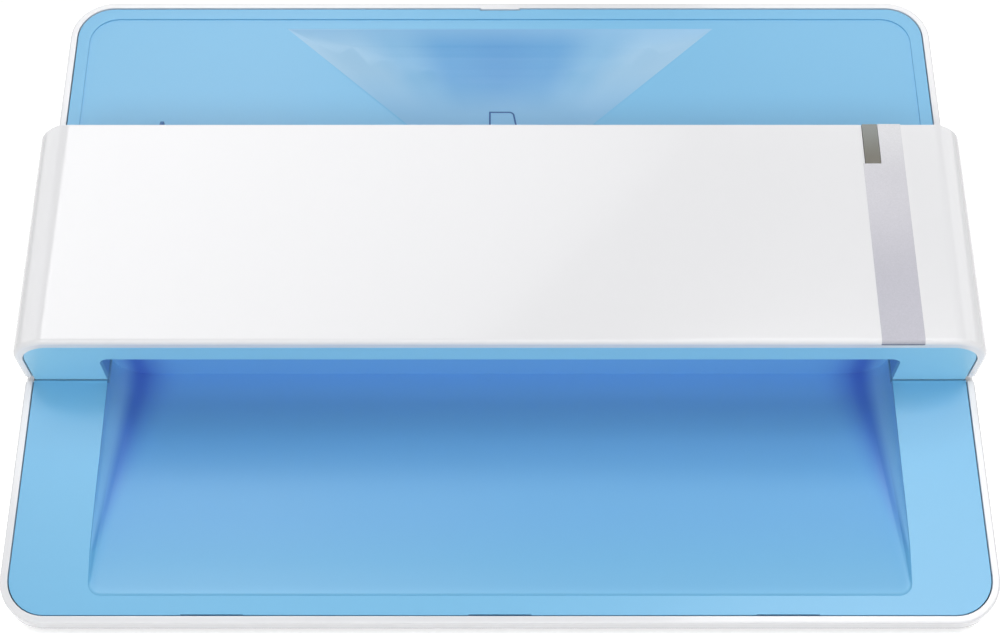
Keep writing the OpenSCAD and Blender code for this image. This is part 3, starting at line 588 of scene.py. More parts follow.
    @classmethod
    def moulded_grain(cls, name: str) -> Tree:
        """Returns the fine even grain of moulded plastic or rubber."""
        tree, entry, leave = cls.shell(name)
        inputs = {"Vector": cls.place(tree), "Scale": entry.outputs["Scale"], "Detail": 2.0, "Roughness": 0.6}
        grain = cls.node(tree, "TexNoise", inputs)
        return cls.finish_group(tree, entry, leave, grain.outputs["Fac"], (9.0, 9.0, 9.0))

    @classmethod
    def brushed_lines(cls, name: str) -> Tree:
        """Returns long fine lines along x, as on rolled or turned metal."""
        tree, entry, leave = cls.shell(name)
        drawn = cls.node(tree, "Mapping", {"Vector": cls.place(tree), "Scale": (0.03, 1.0, 1.0)})
        inputs = {"Vector": drawn.outputs["Vector"], "Scale": entry.outputs["Scale"], "Detail": 3.0}
        lines = cls.node(tree, "TexNoise", inputs)
        return cls.finish_group(tree, entry, leave, lines.outputs["Fac"], (4.0, 30.0, 30.0))

    @classmethod
    def metal_flake(cls, name: str) -> Tree:
        """Returns the small bright flakes of silver film."""
        tree, entry, leave = cls.shell(name)
        flake = cls.node(tree, "TexVoronoi", {"Vector": cls.place(tree), "Scale": entry.outputs["Scale"]})
        split = cls.node(tree, "SeparateColor", {"Color": flake.outputs["Color"]})
        return cls.finish_group(tree, entry, leave, split.outputs[0], (25.0, 25.0, 25.0))


@dataclass(frozen=True)
class Finish:
    """One material: its colour and the way it varies over a piece."""

    name: str
    colour: Colour
    roughness: float = 0.4
    surface: Surface = Surface.MOULDED
    scale: float = 1400.0
    depth: float = 0.1
    mottle: float = 0.05
    metallic: float = 0.0
    coat: float = 0.0
    coat_roughness: float = 0.05
    transmission: float = 0.0

    def material(self) -> bpy.types.Material:
        """Returns the material, made at its first use."""
        label = f"{self.name}_finish"
        if label in bpy.data.materials:
            return bpy.data.materials[label]
        material = bpy.data.materials.new(label)
        material.use_nodes = True
        tree = material.node_tree
        shader = tree.nodes["Principled BSDF"]
        plain = {
            "Metallic": self.metallic,
            "Coat Roughness": self.coat_roughness,
            "Transmission Weight": self.transmission,
        }
        for label, value in plain.items():
            shader.inputs[label].default_value = value
        effect = tree.nodes.new("ShaderNodeGroup")
        effect.node_tree = Effects.group(self.surface)
        for label in ("Roughness", "Scale", "Depth", "Mottle"):
            effect.inputs[label].default_value = getattr(self, label.lower())
        self.paint(tree, effect.inputs["Colour"])
        self.varnish(tree, shader.inputs["Coat Weight"])
        for label, target in (("Colour", "Base Color"), ("Roughness", "Roughness"), ("Normal", "Normal")):
            tree.links.new(effect.outputs[label], shader.inputs[target])
        return material

    def paint(self, tree: Tree, socket: Socket) -> None:
        """Sets the ground colour on the effect's socket."""
        socket.default_value = (*self.colour, 1.0)

    def varnish(self, tree: Tree, socket: Socket) -> None:
        """Sets the gloss coat on the shader's socket."""
        socket.default_value = self.coat


@dataclass(frozen=True)
class DeckTint(Finish):
    """A finish whose colour follows a deck axis, by default the depth below the deck's face.

    Stops are pairs of a place along the axis and a colour, in order from zero outwards.
    """

    stops: tuple[tuple[float, Colour], ...] = ()
    axis: tuple[float, float, float] = (0.0, 0.0, 1.0)

    def paint(self, tree: Tree, socket: Socket) -> None:
        """Colours the piece by its place in deck axes."""
        tree.links.new(self.through_stops(tree, self.along(tree, self.axis)), socket)

    def through_stops(self, tree: Tree, place: Socket) -> Socket:
        """Returns a colour that runs through the stops by a place along the axis."""
        return Effects.ramp(tree, place, self.stops, "EASE")

    @staticmethod
    def rising(tree: Tree, place: Socket, start: float, end: float) -> Socket:
        """Returns a value that rises from 0 to 1 between two places along an axis."""
        rise = Effects.node(tree, "MapRange", {"Value": place, "From Min": start, "From Max": end})
        return rise.outputs["Result"]

    @staticmethod
    def along(tree: Tree, axis: Sequence[float]) -> Socket:
        """Returns the place along one deck axis, in metres."""
        line = DECK.matrix().to_3x3() @ Vector(axis)
        dot = tree.nodes.new("ShaderNodeVectorMath")
        dot.operation = "DOT_PRODUCT"
        dot.inputs[1].default_value = line
        tree.links.new(Effects.place(tree), dot.inputs[0])
        return Effects.calc(tree, "SUBTRACT", dot.outputs["Value"], line.dot(DECK.point(0, 0, 0)))


@dataclass(frozen=True)
class RecessPaintedShading(DeckTint):
    """The front tray's colour with painted shade: deeper in the recess, deepest along its side coves.

    The walls beside the coves are lighter, as painted light. A cove's profile gives the painted shade its
    strength by the distance from the wall, in widths of the cove.
    """

    # cove: painted shade along the recess's side coves; side: painted light on its side walls.
    cove: Colour = (0.0, 0.0, 0.0)
    side: Colour = (1.0, 1.0, 1.0)
    side_share: float = 0.9
    wall: float = 119.5 * MM
    cove_start: float = 22.0 * MM
    cove_end: float = 78.0 * MM
    cove_in: float = 6.2 * MM
    cove_share: float = 0.9
    end_wall: float = 81.5 * MM
    end_gain: float = 4.0
    cove_least: float = 0.6 * MM
    cove_fade: float = 0.5
    wall_band: Span = (0.95, 0.45)
    brink: float = -0.8 * MM
    coat_end: float = -3.0 * MM
    profile: tuple[Span, ...] = ((0.0, 0.0), (0.48, 0.25), (0.99, 1.0), (1.5, 0.55), (2.25, 0.1), (3.0, 0.0))

    def paint(self, tree: Tree, socket: Socket) -> None:
        """Adds painted shade along the coves and painted light on the walls to the colour by depth; the end
        wall gets painted shade as deep in colour as the floor before it.
        """
        calc = Effects.calc
        slope = self.along(tree, (0, 1, 0))
        rise = self.rising(tree, slope, self.cove_start, self.cove_end)
        # Past the end wall's foot the depth runs on deeper, so the end wall takes the painted shade of the
        # deepest stop.
        behind = calc(tree, "MULTIPLY", calc(tree, "SUBTRACT", self.end_wall, slope), self.end_gain)
        ground = self.through_stops(tree, calc(tree, "MINIMUM", self.along(tree, self.axis), behind))
        width = calc(tree, "ADD", calc(tree, "MULTIPLY", rise, self.cove_in), self.cove_least)
        inside = calc(tree, "SUBTRACT", self.wall, calc(tree, "ABSOLUTE", self.along(tree, (1, 0, 0))))
        ratio = calc(tree, "DIVIDE", inside, width)
        stops = [(place, (level, level, level)) for place, level in self.profile]
        # Painted shade in a trough along each side wall, and painted light on the walls below the border.
        cove_shade_mask = Effects.ramp(tree, ratio, stops, "B_SPLINE")
        below = calc(tree, "LESS_THAN", self.along(tree, (0, 0, 1)), self.brink)
        wall = calc(tree, "MULTIPLY", self.rising(tree, ratio, *self.wall_band), self.side_share)
        ground = Effects.tint(tree, calc(tree, "MULTIPLY", wall, below), ground, self.side)
        fade = calc(tree, "POWER", rise, self.cove_fade)
        share = calc(tree, "MULTIPLY", calc(tree, "MULTIPLY", cove_shade_mask, fade), self.cove_share)
        tree.links.new(Effects.tint(tree, calc(tree, "MULTIPLY", share, below), ground, self.cove), socket)

    def varnish(self, tree: Tree, socket: Socket) -> None:
        """Keeps the gloss coat to the flat border round the recess."""
        border = self.rising(tree, self.along(tree, (0, 0, 1)), self.coat_end, self.brink)
        tree.links.new(Effects.calc(tree, "MULTIPLY", border, self.coat), socket)


@dataclass(frozen=True)
class ScoopPaintedShading(DeckTint):
    """The rear tray's colour: plain, with painted shading in the scoop: painted shade deep in its middle and
    painted light at its sides and ends.

    Stops run from the scoop's middle line, 0, to its side edges, 1.
    """

    apex: float = 139.9 * MM
    spread: float = 1.042
    edge_depth: float = -0.8 * MM
    # Painted light at the scoop's front and rear ends.
    pale: Colour = (1.0, 1.0, 1.0)
    front_fade: Span = (190.0 * MM, 174.0 * MM)
    rear_fade: Span = (201.0 * MM, 209.5 * MM)

    def paint(self, tree: Tree, socket: Socket) -> None:
        """Mixes the plain colour with the scoop's painted shade and painted light below the tray's face."""
        calc = Effects.calc
        slope = self.along(tree, (0, 1, 0))
        reach = calc(tree, "MULTIPLY", calc(tree, "SUBTRACT", slope, self.apex), self.spread)
        across = calc(tree, "DIVIDE", calc(tree, "ABSOLUTE", self.along(tree, (1, 0, 0))), reach)
        front, rear = (self.rising(tree, slope, *fade) for fade in (self.front_fade, self.rear_fade))
        ends = calc(tree, "MAXIMUM", front, rear)
        scoop = Effects.tint(tree, ends, self.through_stops(tree, across), self.pale)
        inside = calc(tree, "LESS_THAN", self.along(tree, (0, 0, 1)), self.edge_depth)
        tree.links.new(Effects.tint(tree, inside, self.colour, scoop), socket)


@dataclass(frozen=True)
class StripPaintedShading(DeckTint):
    """The silver strip's colour: paler towards the back as a painted sheen, with a painted shadow line along
    its front end.
    """

    # Painted shadow along the strip's front end.
    line: Colour = srgb(66, 78, 102)
    line_end: float = 24.95 * MM

    def paint(self, tree: Tree, socket: Socket) -> None:
        """Adds the painted shadow line to the colour along the slope."""
        low = Effects.calc(tree, "LESS_THAN", self.along(tree, (0, 0, 1)), self.line_end)
        ground = self.through_stops(tree, self.along(tree, self.axis))
        tree.links.new(Effects.tint(tree, low, ground, self.line), socket)


UP_SLOPE = (0.0, 1.0, 0.0)
WHITE = Finish("gloss_white", srgb(234, 234, 236), 0.16, scale=260.0, depth=0.02, mottle=0.015, coat=0.35)
TRAY_BLUE = srgb(116, 187, 228)
# Front tray blue with painted shading: the stops deepen into the recess as painted shade, lighten near the
# mouth as painted light and darken on the end wall as painted shade; cove is painted shade, side is painted
# light.
FRONT = RecessPaintedShading(
    "front_blue_painted_shading", TRAY_BLUE, 0.36, scale=2600.0, depth=0.05, mottle=0.03,
    stops=(
        (0.0, TRAY_BLUE), (-0.9 * MM, TRAY_BLUE), (-1.6 * MM, srgb(107, 179, 223)),
        (-6.0 * MM, srgb(104, 174, 224)), (-10.0 * MM, srgb(108, 175, 230)),
        (-14.4 * MM, srgb(122, 184, 238)), (-18.0 * MM, srgb(104, 162, 222)),
    ),
    cove=srgb(62, 94, 200), side=srgb(150, 210, 248), coat=0.3, coat_roughness=0.24,
)
# Rear tray blue with painted shading in the scoop: the stops run from painted shade in its middle to painted
# light at its sides; pale is painted light at its ends.
REAR = ScoopPaintedShading(
    "rear_blue_painted_shading", TRAY_BLUE, 0.36, scale=2600.0, depth=0.05, mottle=0.03,
    stops=(
        (0.0, srgb(86, 156, 212)), (0.28, srgb(92, 162, 215)), (0.55, srgb(128, 185, 224)),
        (0.78, srgb(154, 199, 230)), (1.0, srgb(158, 201, 231)),
    ),
    pale=srgb(138, 191, 229), coat=0.3, coat_roughness=0.24,
)
# The face's blue is lighter than the tray blue as painted light on the down-facing face; past its front the
# stops darken as painted shade inside the mouth's jambs.
FACE_BLUE_PAINTED_LIGHT = srgb(152, 214, 243)
FACE = DeckTint(
    "face_blue_painted_shading", FACE_BLUE_PAINTED_LIGHT, 0.36, scale=2600.0, depth=0.05, mottle=0.03, axis=UP_SLOPE,
    stops=(
        (0.0, FACE_BLUE_PAINTED_LIGHT), (78.2 * MM, FACE_BLUE_PAINTED_LIGHT),
        (78.8 * MM, srgb(126, 184, 236)), (84.0 * MM, srgb(112, 166, 228)),
    ),
)
GUIDE = Finish("guide_blue", srgb(72, 118, 170), 0.5, scale=1800.0, depth=0.15, mottle=0.06)
BASE_GREY = Finish("base_grey", srgb(222, 222, 225), 0.5, scale=1500.0, depth=0.25, mottle=0.04)
FOOT = Finish("foot_rubber", srgb(52, 53, 56), 0.75, scale=1200.0, depth=0.35, mottle=0.15)
TYRE = Finish("roller_rubber", srgb(44, 45, 48), 0.68, Surface.BRUSHED, scale=2200.0, depth=0.4, mottle=0.2)
STEEL = Finish("plated_steel", srgb(190, 191, 194), 0.3, Surface.BRUSHED, 1600.0, 0.12, 0.12, metallic=1.0)
BRASS = Finish("turned_brass", srgb(196, 160, 92), 0.32, Surface.BRUSHED, 1800.0, 0.12, 0.12, metallic=1.0)
MOTOR = Finish("motor_can", srgb(140, 142, 147), 0.38, Surface.BRUSHED, 900.0, 0.1, 0.1, metallic=1.0)
BOARD = Finish("board_green", srgb(26, 92, 56), 0.42, scale=420.0, depth=0.1, mottle=0.3, coat=0.2)
BLACK = Finish("black_plastic", srgb(30, 30, 32), 0.45, scale=1600.0, depth=0.2, mottle=0.1)
NATURAL = Finish("gear_plastic", srgb(232, 231, 222), 0.4, scale=900.0, depth=0.08, mottle=0.04)
PINCH = Finish("pinch_plastic", srgb(206, 208, 211), 0.36, scale=900.0, depth=0.08, mottle=0.05)
RIBBON = Finish("flat_cable", srgb(226, 220, 200), 0.45, Surface.BRUSHED, 1400.0, 0.2, 0.12)
GLASS = Finish("scan_glass", srgb(222, 238, 238), 0.03, scale=60.0, depth=0.0, mottle=0.01, transmission=1.0)
# The stops lighten towards the back as a painted sheen; the dark front line is a painted shadow.
SILVER = StripPaintedShading(
    "silver_film_painted_shading", srgb(184, 183, 190), 0.42, Surface.FLAKE, 3200.0, 0.05, 0.2, metallic=0.2, axis=UP_SLOPE,
    stops=(
        (0.0, srgb(172, 171, 180)), (92.0 * MM, srgb(174, 173, 182)), (130.0 * MM, srgb(188, 187, 193)),
        (152.0 * MM, srgb(204, 204, 207)),
    ),
)
# The smoked lens is olive, paler and greyer towards the back as a painted reflection.
SMOKE_OLIVE = srgb(114, 111, 101)
SMOKE = DeckTint(
    "smoked_lens", SMOKE_OLIVE, 0.16, scale=400.0, depth=0.02, mottle=0.2, coat=0.3, axis=UP_SLOPE,
    stops=((0.0, SMOKE_OLIVE), (138.0 * MM, SMOKE_OLIVE), (152.0 * MM, srgb(136, 140, 136))),
)
BUTTON = Finish("button_grey", srgb(184, 188, 194), 0.3, scale=1300.0, depth=0.1, mottle=0.04)
INK = Finish("printed_ink", srgb(44, 92, 152), 0.5, scale=1500.0, depth=0.05, mottle=0.1)


@dataclass
class Assembly:
    """A group of pieces on the frame, with what each one rides on."""

    nodes: dict[str, Piece]
    screw_round: float = 0.3 * MM
    screw_slot: tuple[float, float, float] = (3.2 * MM, 0.8 * MM, 0.6 * MM)
    rib_places: tuple[float, ...] = (10.0 * MM, 50.0 * MM, 60.0 * MM, 100.0 * MM)
    rib_width: float = 1.4 * MM
    rib_height: float = 0.5 * MM
    rib_round: float = 0.2 * MM

    def place(self, piece: Piece, body: Body, finish: Finish, slot: str, *replaced: str) -> Piece:
        """Dresses a piece and hands it to a body.

        Args:
            piece: the piece.
            body: the body that it rides on.
            finish: its material.
            slot: the record's material slot; not used.
            replaced: frame nodes that it stands for.

        Returns:
            The piece.
        """
        piece.data.materials.clear()
        piece.data.materials.append(finish.material())
        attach(piece, body.value)
        if replaced:
            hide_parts(*replaced)
        LOG.info("%s: %d faces on %s", piece.name, len(piece.data.polygons), body.value)
        return piece

    def dress(self, finish: Finish, *names: str) -> None:
        """Gives frame nodes a finish."""
        for name in names:
            node = self.nodes[name]
            node.data.materials.clear()
            node.data.materials.append(finish.material())
            LOG.info("%s: frame node in %s", name, finish.name)

    def soft_shell(
        self,
        node: str,
        name: str,
        width: float,
        body: Body,
        finish: Finish,
        slot: str,
        wanted: EdgeTest = lambda middle: True,
    ) -> Piece:
        """Makes a soft-edged piece from a frame node, in the node's place.

        Args:
            node: the frame node.
            name: name of the piece.
            width: width of the rounded edges.
            body: the body that it rides on.
            finish: its material.
            slot: the record's material slot.
            wanted: a test of the middles of the edges that are rounded.

        Returns:
            The piece.
        """
        piece = Bench.cad_copy(self.nodes[node], name)
        Bench.round_edges(piece, width, 3, wanted=wanted)
        Bench.smooth(piece)
        return self.place(piece, body, finish, slot, node)

    def cross_screws(self, node: str, name: str, facing: Vector, body: Body) -> None:
        """Makes a set of screws with cross slots, in the node's place.

        Args:
            node: the frame node.
            name: name of the piece.
            facing: the way that the heads face.
            body: the body that they ride on.
        """
        screws = Bench.cad_copy(self.nodes[node], name)
        Bench.round_edges(screws, self.screw_round, 3)
        Bench.cut_crosses(screws, facing, *self.screw_slot)
        Bench.smooth(screws)
        self.place(screws, body, STEEL, "steel", node)

    def paper_ribs(self, name: str, body: Body, level: float, spans: Sequence[Span]) -> None:
        """Makes the low ribs of a paper guide, which stand a little out of its face.

        Args:
            name: name of the piece.
            body: the body that they ride on.
            level: height of the guide's face over the deck's.
            spans: where the ribs start and end, up the slope.
        """
        rows = []
        for start, end in spans:
            rib = Bench.bar(name, (self.rib_width, end - start, self.rib_height), self.rib_round)
            middle = (start + end) / 2
            places = [Vector((way * x, middle, level)) for x in self.rib_places for way in (-1, 1)]
            rows.append(Bench.row(rib, name, places))
        ribs = Bench.join(rows, name)
        ribs.matrix_world = DECK.matrix()
        Bench.settle(ribs)
        Bench.smooth(ribs)
        self.place(ribs, body, GUIDE, "guide_blue")


@dataclass
class SlopedDeck(Assembly):
    """The white rim and what it holds: both trays and the lower paper guide."""

    rim_round: float = 0.7 * MM
    rim_inner_round: float = 0.2 * MM
    tray_round: float = 0.12 * MM
    guide_round: float = 0.25 * MM
    guide_face: float = -0.4 * MM
    rib_spans: tuple[Span, ...] = ((88.5 * MM, 104.0 * MM), (121.5 * MM, 147.0 * MM))
    rim_outer_gap: float = 0.06 * MM
    rim_inner_gap: Span = (1.5 * MM, 2.9 * MM)
    rim_top: float = -0.05 * MM
    tray_gap: float = 2.7 * MM
    tray_top: float = -0.35 * MM
    recess_top: float = -0.5 * MM
    recess_front: float = 14.0 * MM
    scoop_top: float = -0.75 * MM
    scoop_back: float = 200.0 * MM
    mark_width: float = 8.2 * MM
    mark_height: float = 11.0 * MM
    mark_line: float = 0.56 * MM
    mark_lean: float = 1.6 * MM
    mark_corner: float = 1.6 * MM
    mark_place: tuple[float, float, float] = (0.5 * MM, 169.8 * MM, 3.0 * MM)
    ink_gap: float = 0.03 * MM
    ink_depth: float = 0.025 * MM

    def build(self) -> None:
        """Makes the deck's pieces."""
        self.rim()
        self.tray("front_tray", "front_liner", FRONT, self.recess_brim)
        self.page_mark(self.tray("rear_tray", "rear_liner", REAR, self.scoop_brim))
        self.soft_shell("lower_guide", "lower_paper_guide", self.guide_round, Body.BASE, GUIDE, "guide_blue")
        self.paper_ribs("lower_guide_ribs", Body.BASE, self.guide_face, self.rib_spans)

    def tray(self, node: str, name: str, finish: Finish, brim: EdgeTest) -> Piece:
        """Makes a tray with soft edges beside the rim.

        Args:
            node: the frame node.
            name: name of the piece.
            finish: its material.
            brim: a test of the middles of the edges that stay crisp.

        Returns:
            The tray.
        """
        tray = Bench.cad_copy(self.nodes[node], name, merge_flat=False)
        Bench.round_edges(tray, self.tray_round, 2, wanted=self.tray_edge)
        Bench.smooth(tray, creased=brim)
        return self.place(tray, Body.BASE, finish, "tray_blue", node)

    def recess_brim(self, middle: Vector) -> bool:
        """Says whether an edge runs along the recess's brim, at its sides and back."""
        _, s, n = DECK.read(middle)
        return n > self.recess_top and s > self.recess_front

    def scoop_brim(self, middle: Vector) -> bool:
        """Says whether an edge runs along the scoop's brim, at its sides and front."""
        _, s, n = DECK.read(middle)
        return n > self.scoop_top and s < self.scoop_back

    def rim(self) -> None:
        """Makes the white frame with a round outer edge and a crisp inner one."""
        rim = Bench.cad_copy(self.nodes["deck_frame"], "deck_rim")
        Bench.round_edges(rim, self.rim_round, 4, wanted=self.outer_rim_edge)
        Bench.round_edges(rim, self.rim_inner_round, 2, wanted=self.inner_rim_edge)
        Bench.smooth(rim)
        self.place(rim, Body.BASE, WHITE, "shell_white", "deck_frame")

    def outer_rim_edge(self, middle: Vector) -> bool:
        """Says whether an edge runs along the outside of the rim."""
        return DECK.edge_gap(middle) < self.rim_outer_gap

    def inner_rim_edge(self, middle: Vector) -> bool:
        """Says whether an edge runs along the inside of the rim's top."""
        least, most = self.rim_inner_gap
        return DECK.read(middle).z > self.rim_top and least < DECK.edge_gap(middle) < most

    def tray_edge(self, middle: Vector) -> bool:
        """Says whether an edge runs along the top of a tray beside the rim."""
        return DECK.read(middle).z > self.tray_top and DECK.edge_gap(middle) < self.tray_gap

    def page_mark(self, tray: Piece) -> None:
        """Prints the outline of a sheet on the rear tray, as a sign of what lies there.

        Args:
            tray: the piece that carries the mark.
        """
        bpy.ops.object.select_all(action="DESELECT")
        bpy.ops.mesh.primitive_plane_add(size=1.0)
        mark = bpy.context.view_layer.objects.active
        mark.name = "page_mark"
        mark.scale = (self.mark_width, self.mark_height, 1.0)
        Bench.settle(mark)
        with Bench.editing(mark):
            mesh = bmesh.from_edit_mesh(mark.data)
            bpy.ops.mesh.select_mode(type="VERT")
            for vert in mesh.verts:
                vert.select_set(vert.co.x > 0 and vert.co.y < 0)
            mesh.select_flush_mode()
            bpy.ops.transform.translate(value=(self.mark_lean, 0, 0))
            for vert in mesh.verts:
                vert.select_set(vert.co.x > 0 and vert.co.y > 0)
            mesh.select_flush_mode()
            bpy.ops.mesh.bevel(offset=self.mark_corner, segments=6, affect="VERTICES")
            bpy.ops.mesh.select_all(action="SELECT")
            bpy.ops.mesh.inset(thickness=self.mark_line)
            bpy.ops.mesh.delete(type="FACE")
            bpy.ops.mesh.select_all(action="SELECT")
            bpy.ops.mesh.subdivide(number_cuts=6)
        mark.matrix_world = DECK.matrix() @ Matrix.Translation(self.mark_place)
        Bench.apply(
            mark, "SHRINKWRAP", target=tray, wrap_method="PROJECT", use_project_z=True,
            use_negative_direction=True, use_positive_direction=False, offset=self.ink_gap,
        )
        Bench.apply(mark, "SOLIDIFY", thickness=self.ink_depth, offset=1.0)
        Bench.settle(mark)
        self.place(mark, Body.BASE, INK, "tray_blue")


@dataclass
class BridgeCover(Assembly):
    """The glossy bridge over the rollers with its face, strip and window."""

    lip_round: float = 1.5 * MM
    edge_round: float = 0.6 * MM
    strip_round: float = 1.3 * MM
    seam_round: float = 0.12 * MM
    strip_play: float = 0.09 * MM
    face_round: float = 0.15 * MM
    guide_round: float = 0.2 * MM
    guide_face: float = 1.2 * MM
    rib_spans: tuple[Span, ...] = ((89.0 * MM, 105.0 * MM), (122.0 * MM, 141.0 * MM))
    front_s: float = 76.3 * MM
    lip_depth: float = 3.0 * MM
    foot_n: float = 2.5 * MM
    roof_n: float = 25.9 * MM
    side_x: float = 144.4 * MM
    arch_half: Span = (144.5 * MM, 13.0 * MM)
    arch_corner: float = 11.5 * MM
    pocket_x: Span = (111.3 * MM, 124.2 * MM)
    pocket_n: float = 20.0 * MM

    def build(self) -> None:
        """Makes the cover's pieces."""
        shell = Bench.cad_copy(self.nodes["cover_shell"], "bridge_shell")
        Bench.round_edges(shell, self.lip_round, 6, wanted=self.lip_edge)
        Bench.round_edges(shell, self.edge_round, 3, wanted=self.outer_edge)
        Bench.smooth(shell)
        self.place(shell, Body.COVER, WHITE, "shell_white", "cover_shell")
        self.soft_shell("cover_face", "bridge_face", self.face_round, Body.COVER, FACE, "tray_blue")
        self.soft_shell("entry_panel", "entry_wall", self.guide_round, Body.COVER, GUIDE, "guide_blue")
        self.soft_shell("upper_guide", "upper_paper_guide", self.guide_round, Body.COVER, GUIDE, "guide_blue")
        self.paper_ribs("upper_guide_ribs", Body.COVER, self.guide_face, self.rib_spans)
        inwards = DECK.point(0, 0, 0) - DECK.point(0, 0, 1)
        self.cross_screws("guide_screws", "guide_cross_screws", inwards, Body.COVER)
        strip = Bench.cad_copy(self.nodes["trim_strip"], "silver_strip")
        self.widen(strip, self.strip_play)
        Bench.round_edges(strip, self.strip_round, 6, wanted=self.lip_edge)
        Bench.smooth(strip)
        self.place(strip, Body.COVER, SILVER, "trim_silver", "trim_strip")
        self.soft_shell("indicator_window", "smoked_lens", self.seam_round, Body.COVER, SMOKE, "smoked_window")

    @staticmethod
    def widen(piece: Piece, play: float) -> None:
        """Moves the two outer sides of a piece outwards.

        Args:
            piece: the piece.
            play: how far each side moves along x.
        """
        sides = [vert.co.x for vert in piece.data.vertices]
        with Bench.editing(piece):
            for limit, way in ((min(sides), -1), (max(sides), 1)):
                Bench.take_faces(piece, lambda centre, normal: abs(centre.x - limit) < 0.01 * MM)
                bpy.ops.transform.translate(value=(way * play, 0, 0))

    def lip_edge(self, middle: Vector) -> bool:
        """Says whether an edge runs along the outside of the front lip, from foot to foot."""
        x, s, n = DECK.read(middle)
        at_front = s < self.front_s + 0.05 * MM
        return at_front and n > self.foot_n and (n > self.roof_n or self.on_skin(x, n))

    def outer_edge(self, middle: Vector) -> bool:
        """Says whether an edge lies on the outside of the bridge, behind the lip and off the strip's pocket."""
        x, s, n = DECK.read(middle)
        in_pocket = self.pocket_x[0] < x < self.pocket_x[1] and n > self.pocket_n
        behind = s > self.front_s + self.lip_depth
        return behind and not in_pocket and (n > self.roof_n or abs(x) > self.side_x)

    def on_skin(self, x: float, n: float) -> bool:
        """Says whether a deck point lies on the bridge's outer arch."""
        gap = rounded_gap(x, n - self.arch_half[1], *self.arch_half, self.arch_corner)
        return gap < SKIN_PLAY or abs(x) > self.side_x


@dataclass
class WedgeHousing(Assembly):
    """The wedge under the deck with its floor, feet, ports and button."""

    shell_round: float = 0.8 * MM
    floor_round: float = 0.3 * MM
    button_round: float = 0.35 * MM
    socket_round: float = 0.15 * MM
    inlet_round: float = 0.2 * MM
    ports_top: float = 30.0 * MM
    contact_size: tuple[float, float, float] = (0.9 * MM, 6.9 * MM, 0.24 * MM)
    contact_round: float = 0.08 * MM
    contact_x: Span = (18.75 * MM, 21.25 * MM)
    contact_y: float = 68.95 * MM
    contact_z: Span = (14.5 * MM, 17.7 * MM)
    sole_rim: float = 2.0 * MM
    sole_cup: float = 0.5 * MM
    sole_round: float = 0.3 * MM
    half_width: float = 134.0 * MM
    front_y: float = -63.3568 * MM
    back_y: float = 75.6727 * MM
    corner: float = 12.0 * MM

    def build(self) -> None:
        """Makes the housing's pieces."""
        self.soft_shell(
            "rear_housing", "wedge_shell", self.shell_round, Body.BASE, WHITE, "shell_white", self.upper_edge
        )
        self.soft_shell("bottom_plate", "floor_plate", self.floor_round, Body.BASE, BASE_GREY, "base_grey")
        self.foot_pads()
        self.soft_shell("power_button", "button_cap", self.button_round, Body.BUTTON, BUTTON, "button_grey")
        self.soft_shell("data_socket", "data_shell", self.socket_round, Body.BASE, STEEL, "steel")
        self.soft_shell("power_inlet", "inlet_block", self.inlet_round, Body.BASE, BLACK, "black_plastic")
        self.socket_contacts()
        self.cross_screws("case_screws", "case_cross_screws", Vector((0, 0, -1)), Body.BASE)
        self.dress(STEEL, "deck_screws")

    def foot_pads(self) -> None:
        """Makes the rubber feet, each with a shallow cup in its sole."""
        feet = Bench.cad_copy(self.nodes["rubber_feet"], "foot_pads")
        with Bench.editing(feet):
            if Bench.take_faces(feet, lambda centre, normal: normal.z < -0.99 and centre.z < 0.05 * MM):
                bpy.ops.mesh.inset(thickness=self.sole_rim, use_individual=True)
                bpy.ops.transform.translate(value=(0, 0, self.sole_cup))
        Bench.round_edges(feet, self.sole_round, 3)
        Bench.smooth(feet)
        self.place(feet, Body.BASE, FOOT, "foot_rubber", "rubber_feet")

    def socket_contacts(self) -> None:
        """Makes the four contact springs on the data socket's tongue."""
        spring = Bench.bar("data_contacts", self.contact_size, self.contact_round)
        places = [Vector((x, self.contact_y, z)) for x in self.contact_x for z in self.contact_z]
        contacts = Bench.row(spring, "data_contacts", places)
        Bench.smooth(contacts)
        self.place(contacts, Body.BASE, BRASS, "brass")

    def upper_edge(self, middle: Vector) -> bool:
        """Says whether an edge lies on the outer skin, above the ports and vents."""
        half_y, mid_y = (self.back_y - self.front_y) / 2, (self.back_y + self.front_y) / 2
        gap = rounded_gap(middle.x, middle.y - mid_y, self.half_width, half_y, self.corner)
        return middle.z > self.ports_top and gap < SKIN_PLAY


@dataclass
class PaperPath(Assembly):
    """Rollers, pinch wheels, scan bar, sensor and width guide."""

    fence_round: float = 0.2 * MM

    def build(self) -> None:
        """Dresses the paper path."""
        self.dress(TYRE, "feed_tyres", "exit_tyres")
        self.dress(STEEL, "feed_shaft", "exit_shaft", "feed_pinch_axle", "exit_pinch_axle")
        self.dress(STEEL, "hinge_pins", "sensor_pin", "pinch_springs")
        self.dress(PINCH, "feed_pinch_rollers", "exit_pinch_rollers")
        self.dress(BLACK, "scan_module", "sensor_lever")
        self.dress(GLASS, "scan_glass")
        self.dress(NATURAL, "reference_bar")
        self.soft_shell("paper_guide", "width_fence", self.fence_round, Body.GUIDE, GUIDE, "guide_blue")
        self.dress(GUIDE, "guide_clip")


@dataclass
class DriveTrain(Assembly):
    """Motor, gears, plates and bushes."""

    def build(self) -> None:
        """Dresses the drive."""
        self.dress(STEEL, "module_bracket", "drive_plate", "side_plate")
        self.dress(STEEL, "motor_screws", "idler_shaft", "motor_shaft")
        self.dress(NATURAL, "feed_gear", "exit_gear", "idler_gear")
        self.dress(BRASS, "roller_bushes", "motor_pinion")
        self.dress(MOTOR, "drive_motor")


@dataclass
class Electronics(Assembly):
    """Boards, switch and flat cable."""

    def build(self) -> None:
        """Dresses the electronics."""
        self.dress(BOARD, "main_board", "sensor_board", "indicator_board")
        self.dress(BLACK, "power_switch")
        self.dress(RIBBON, "scan_ribbon")


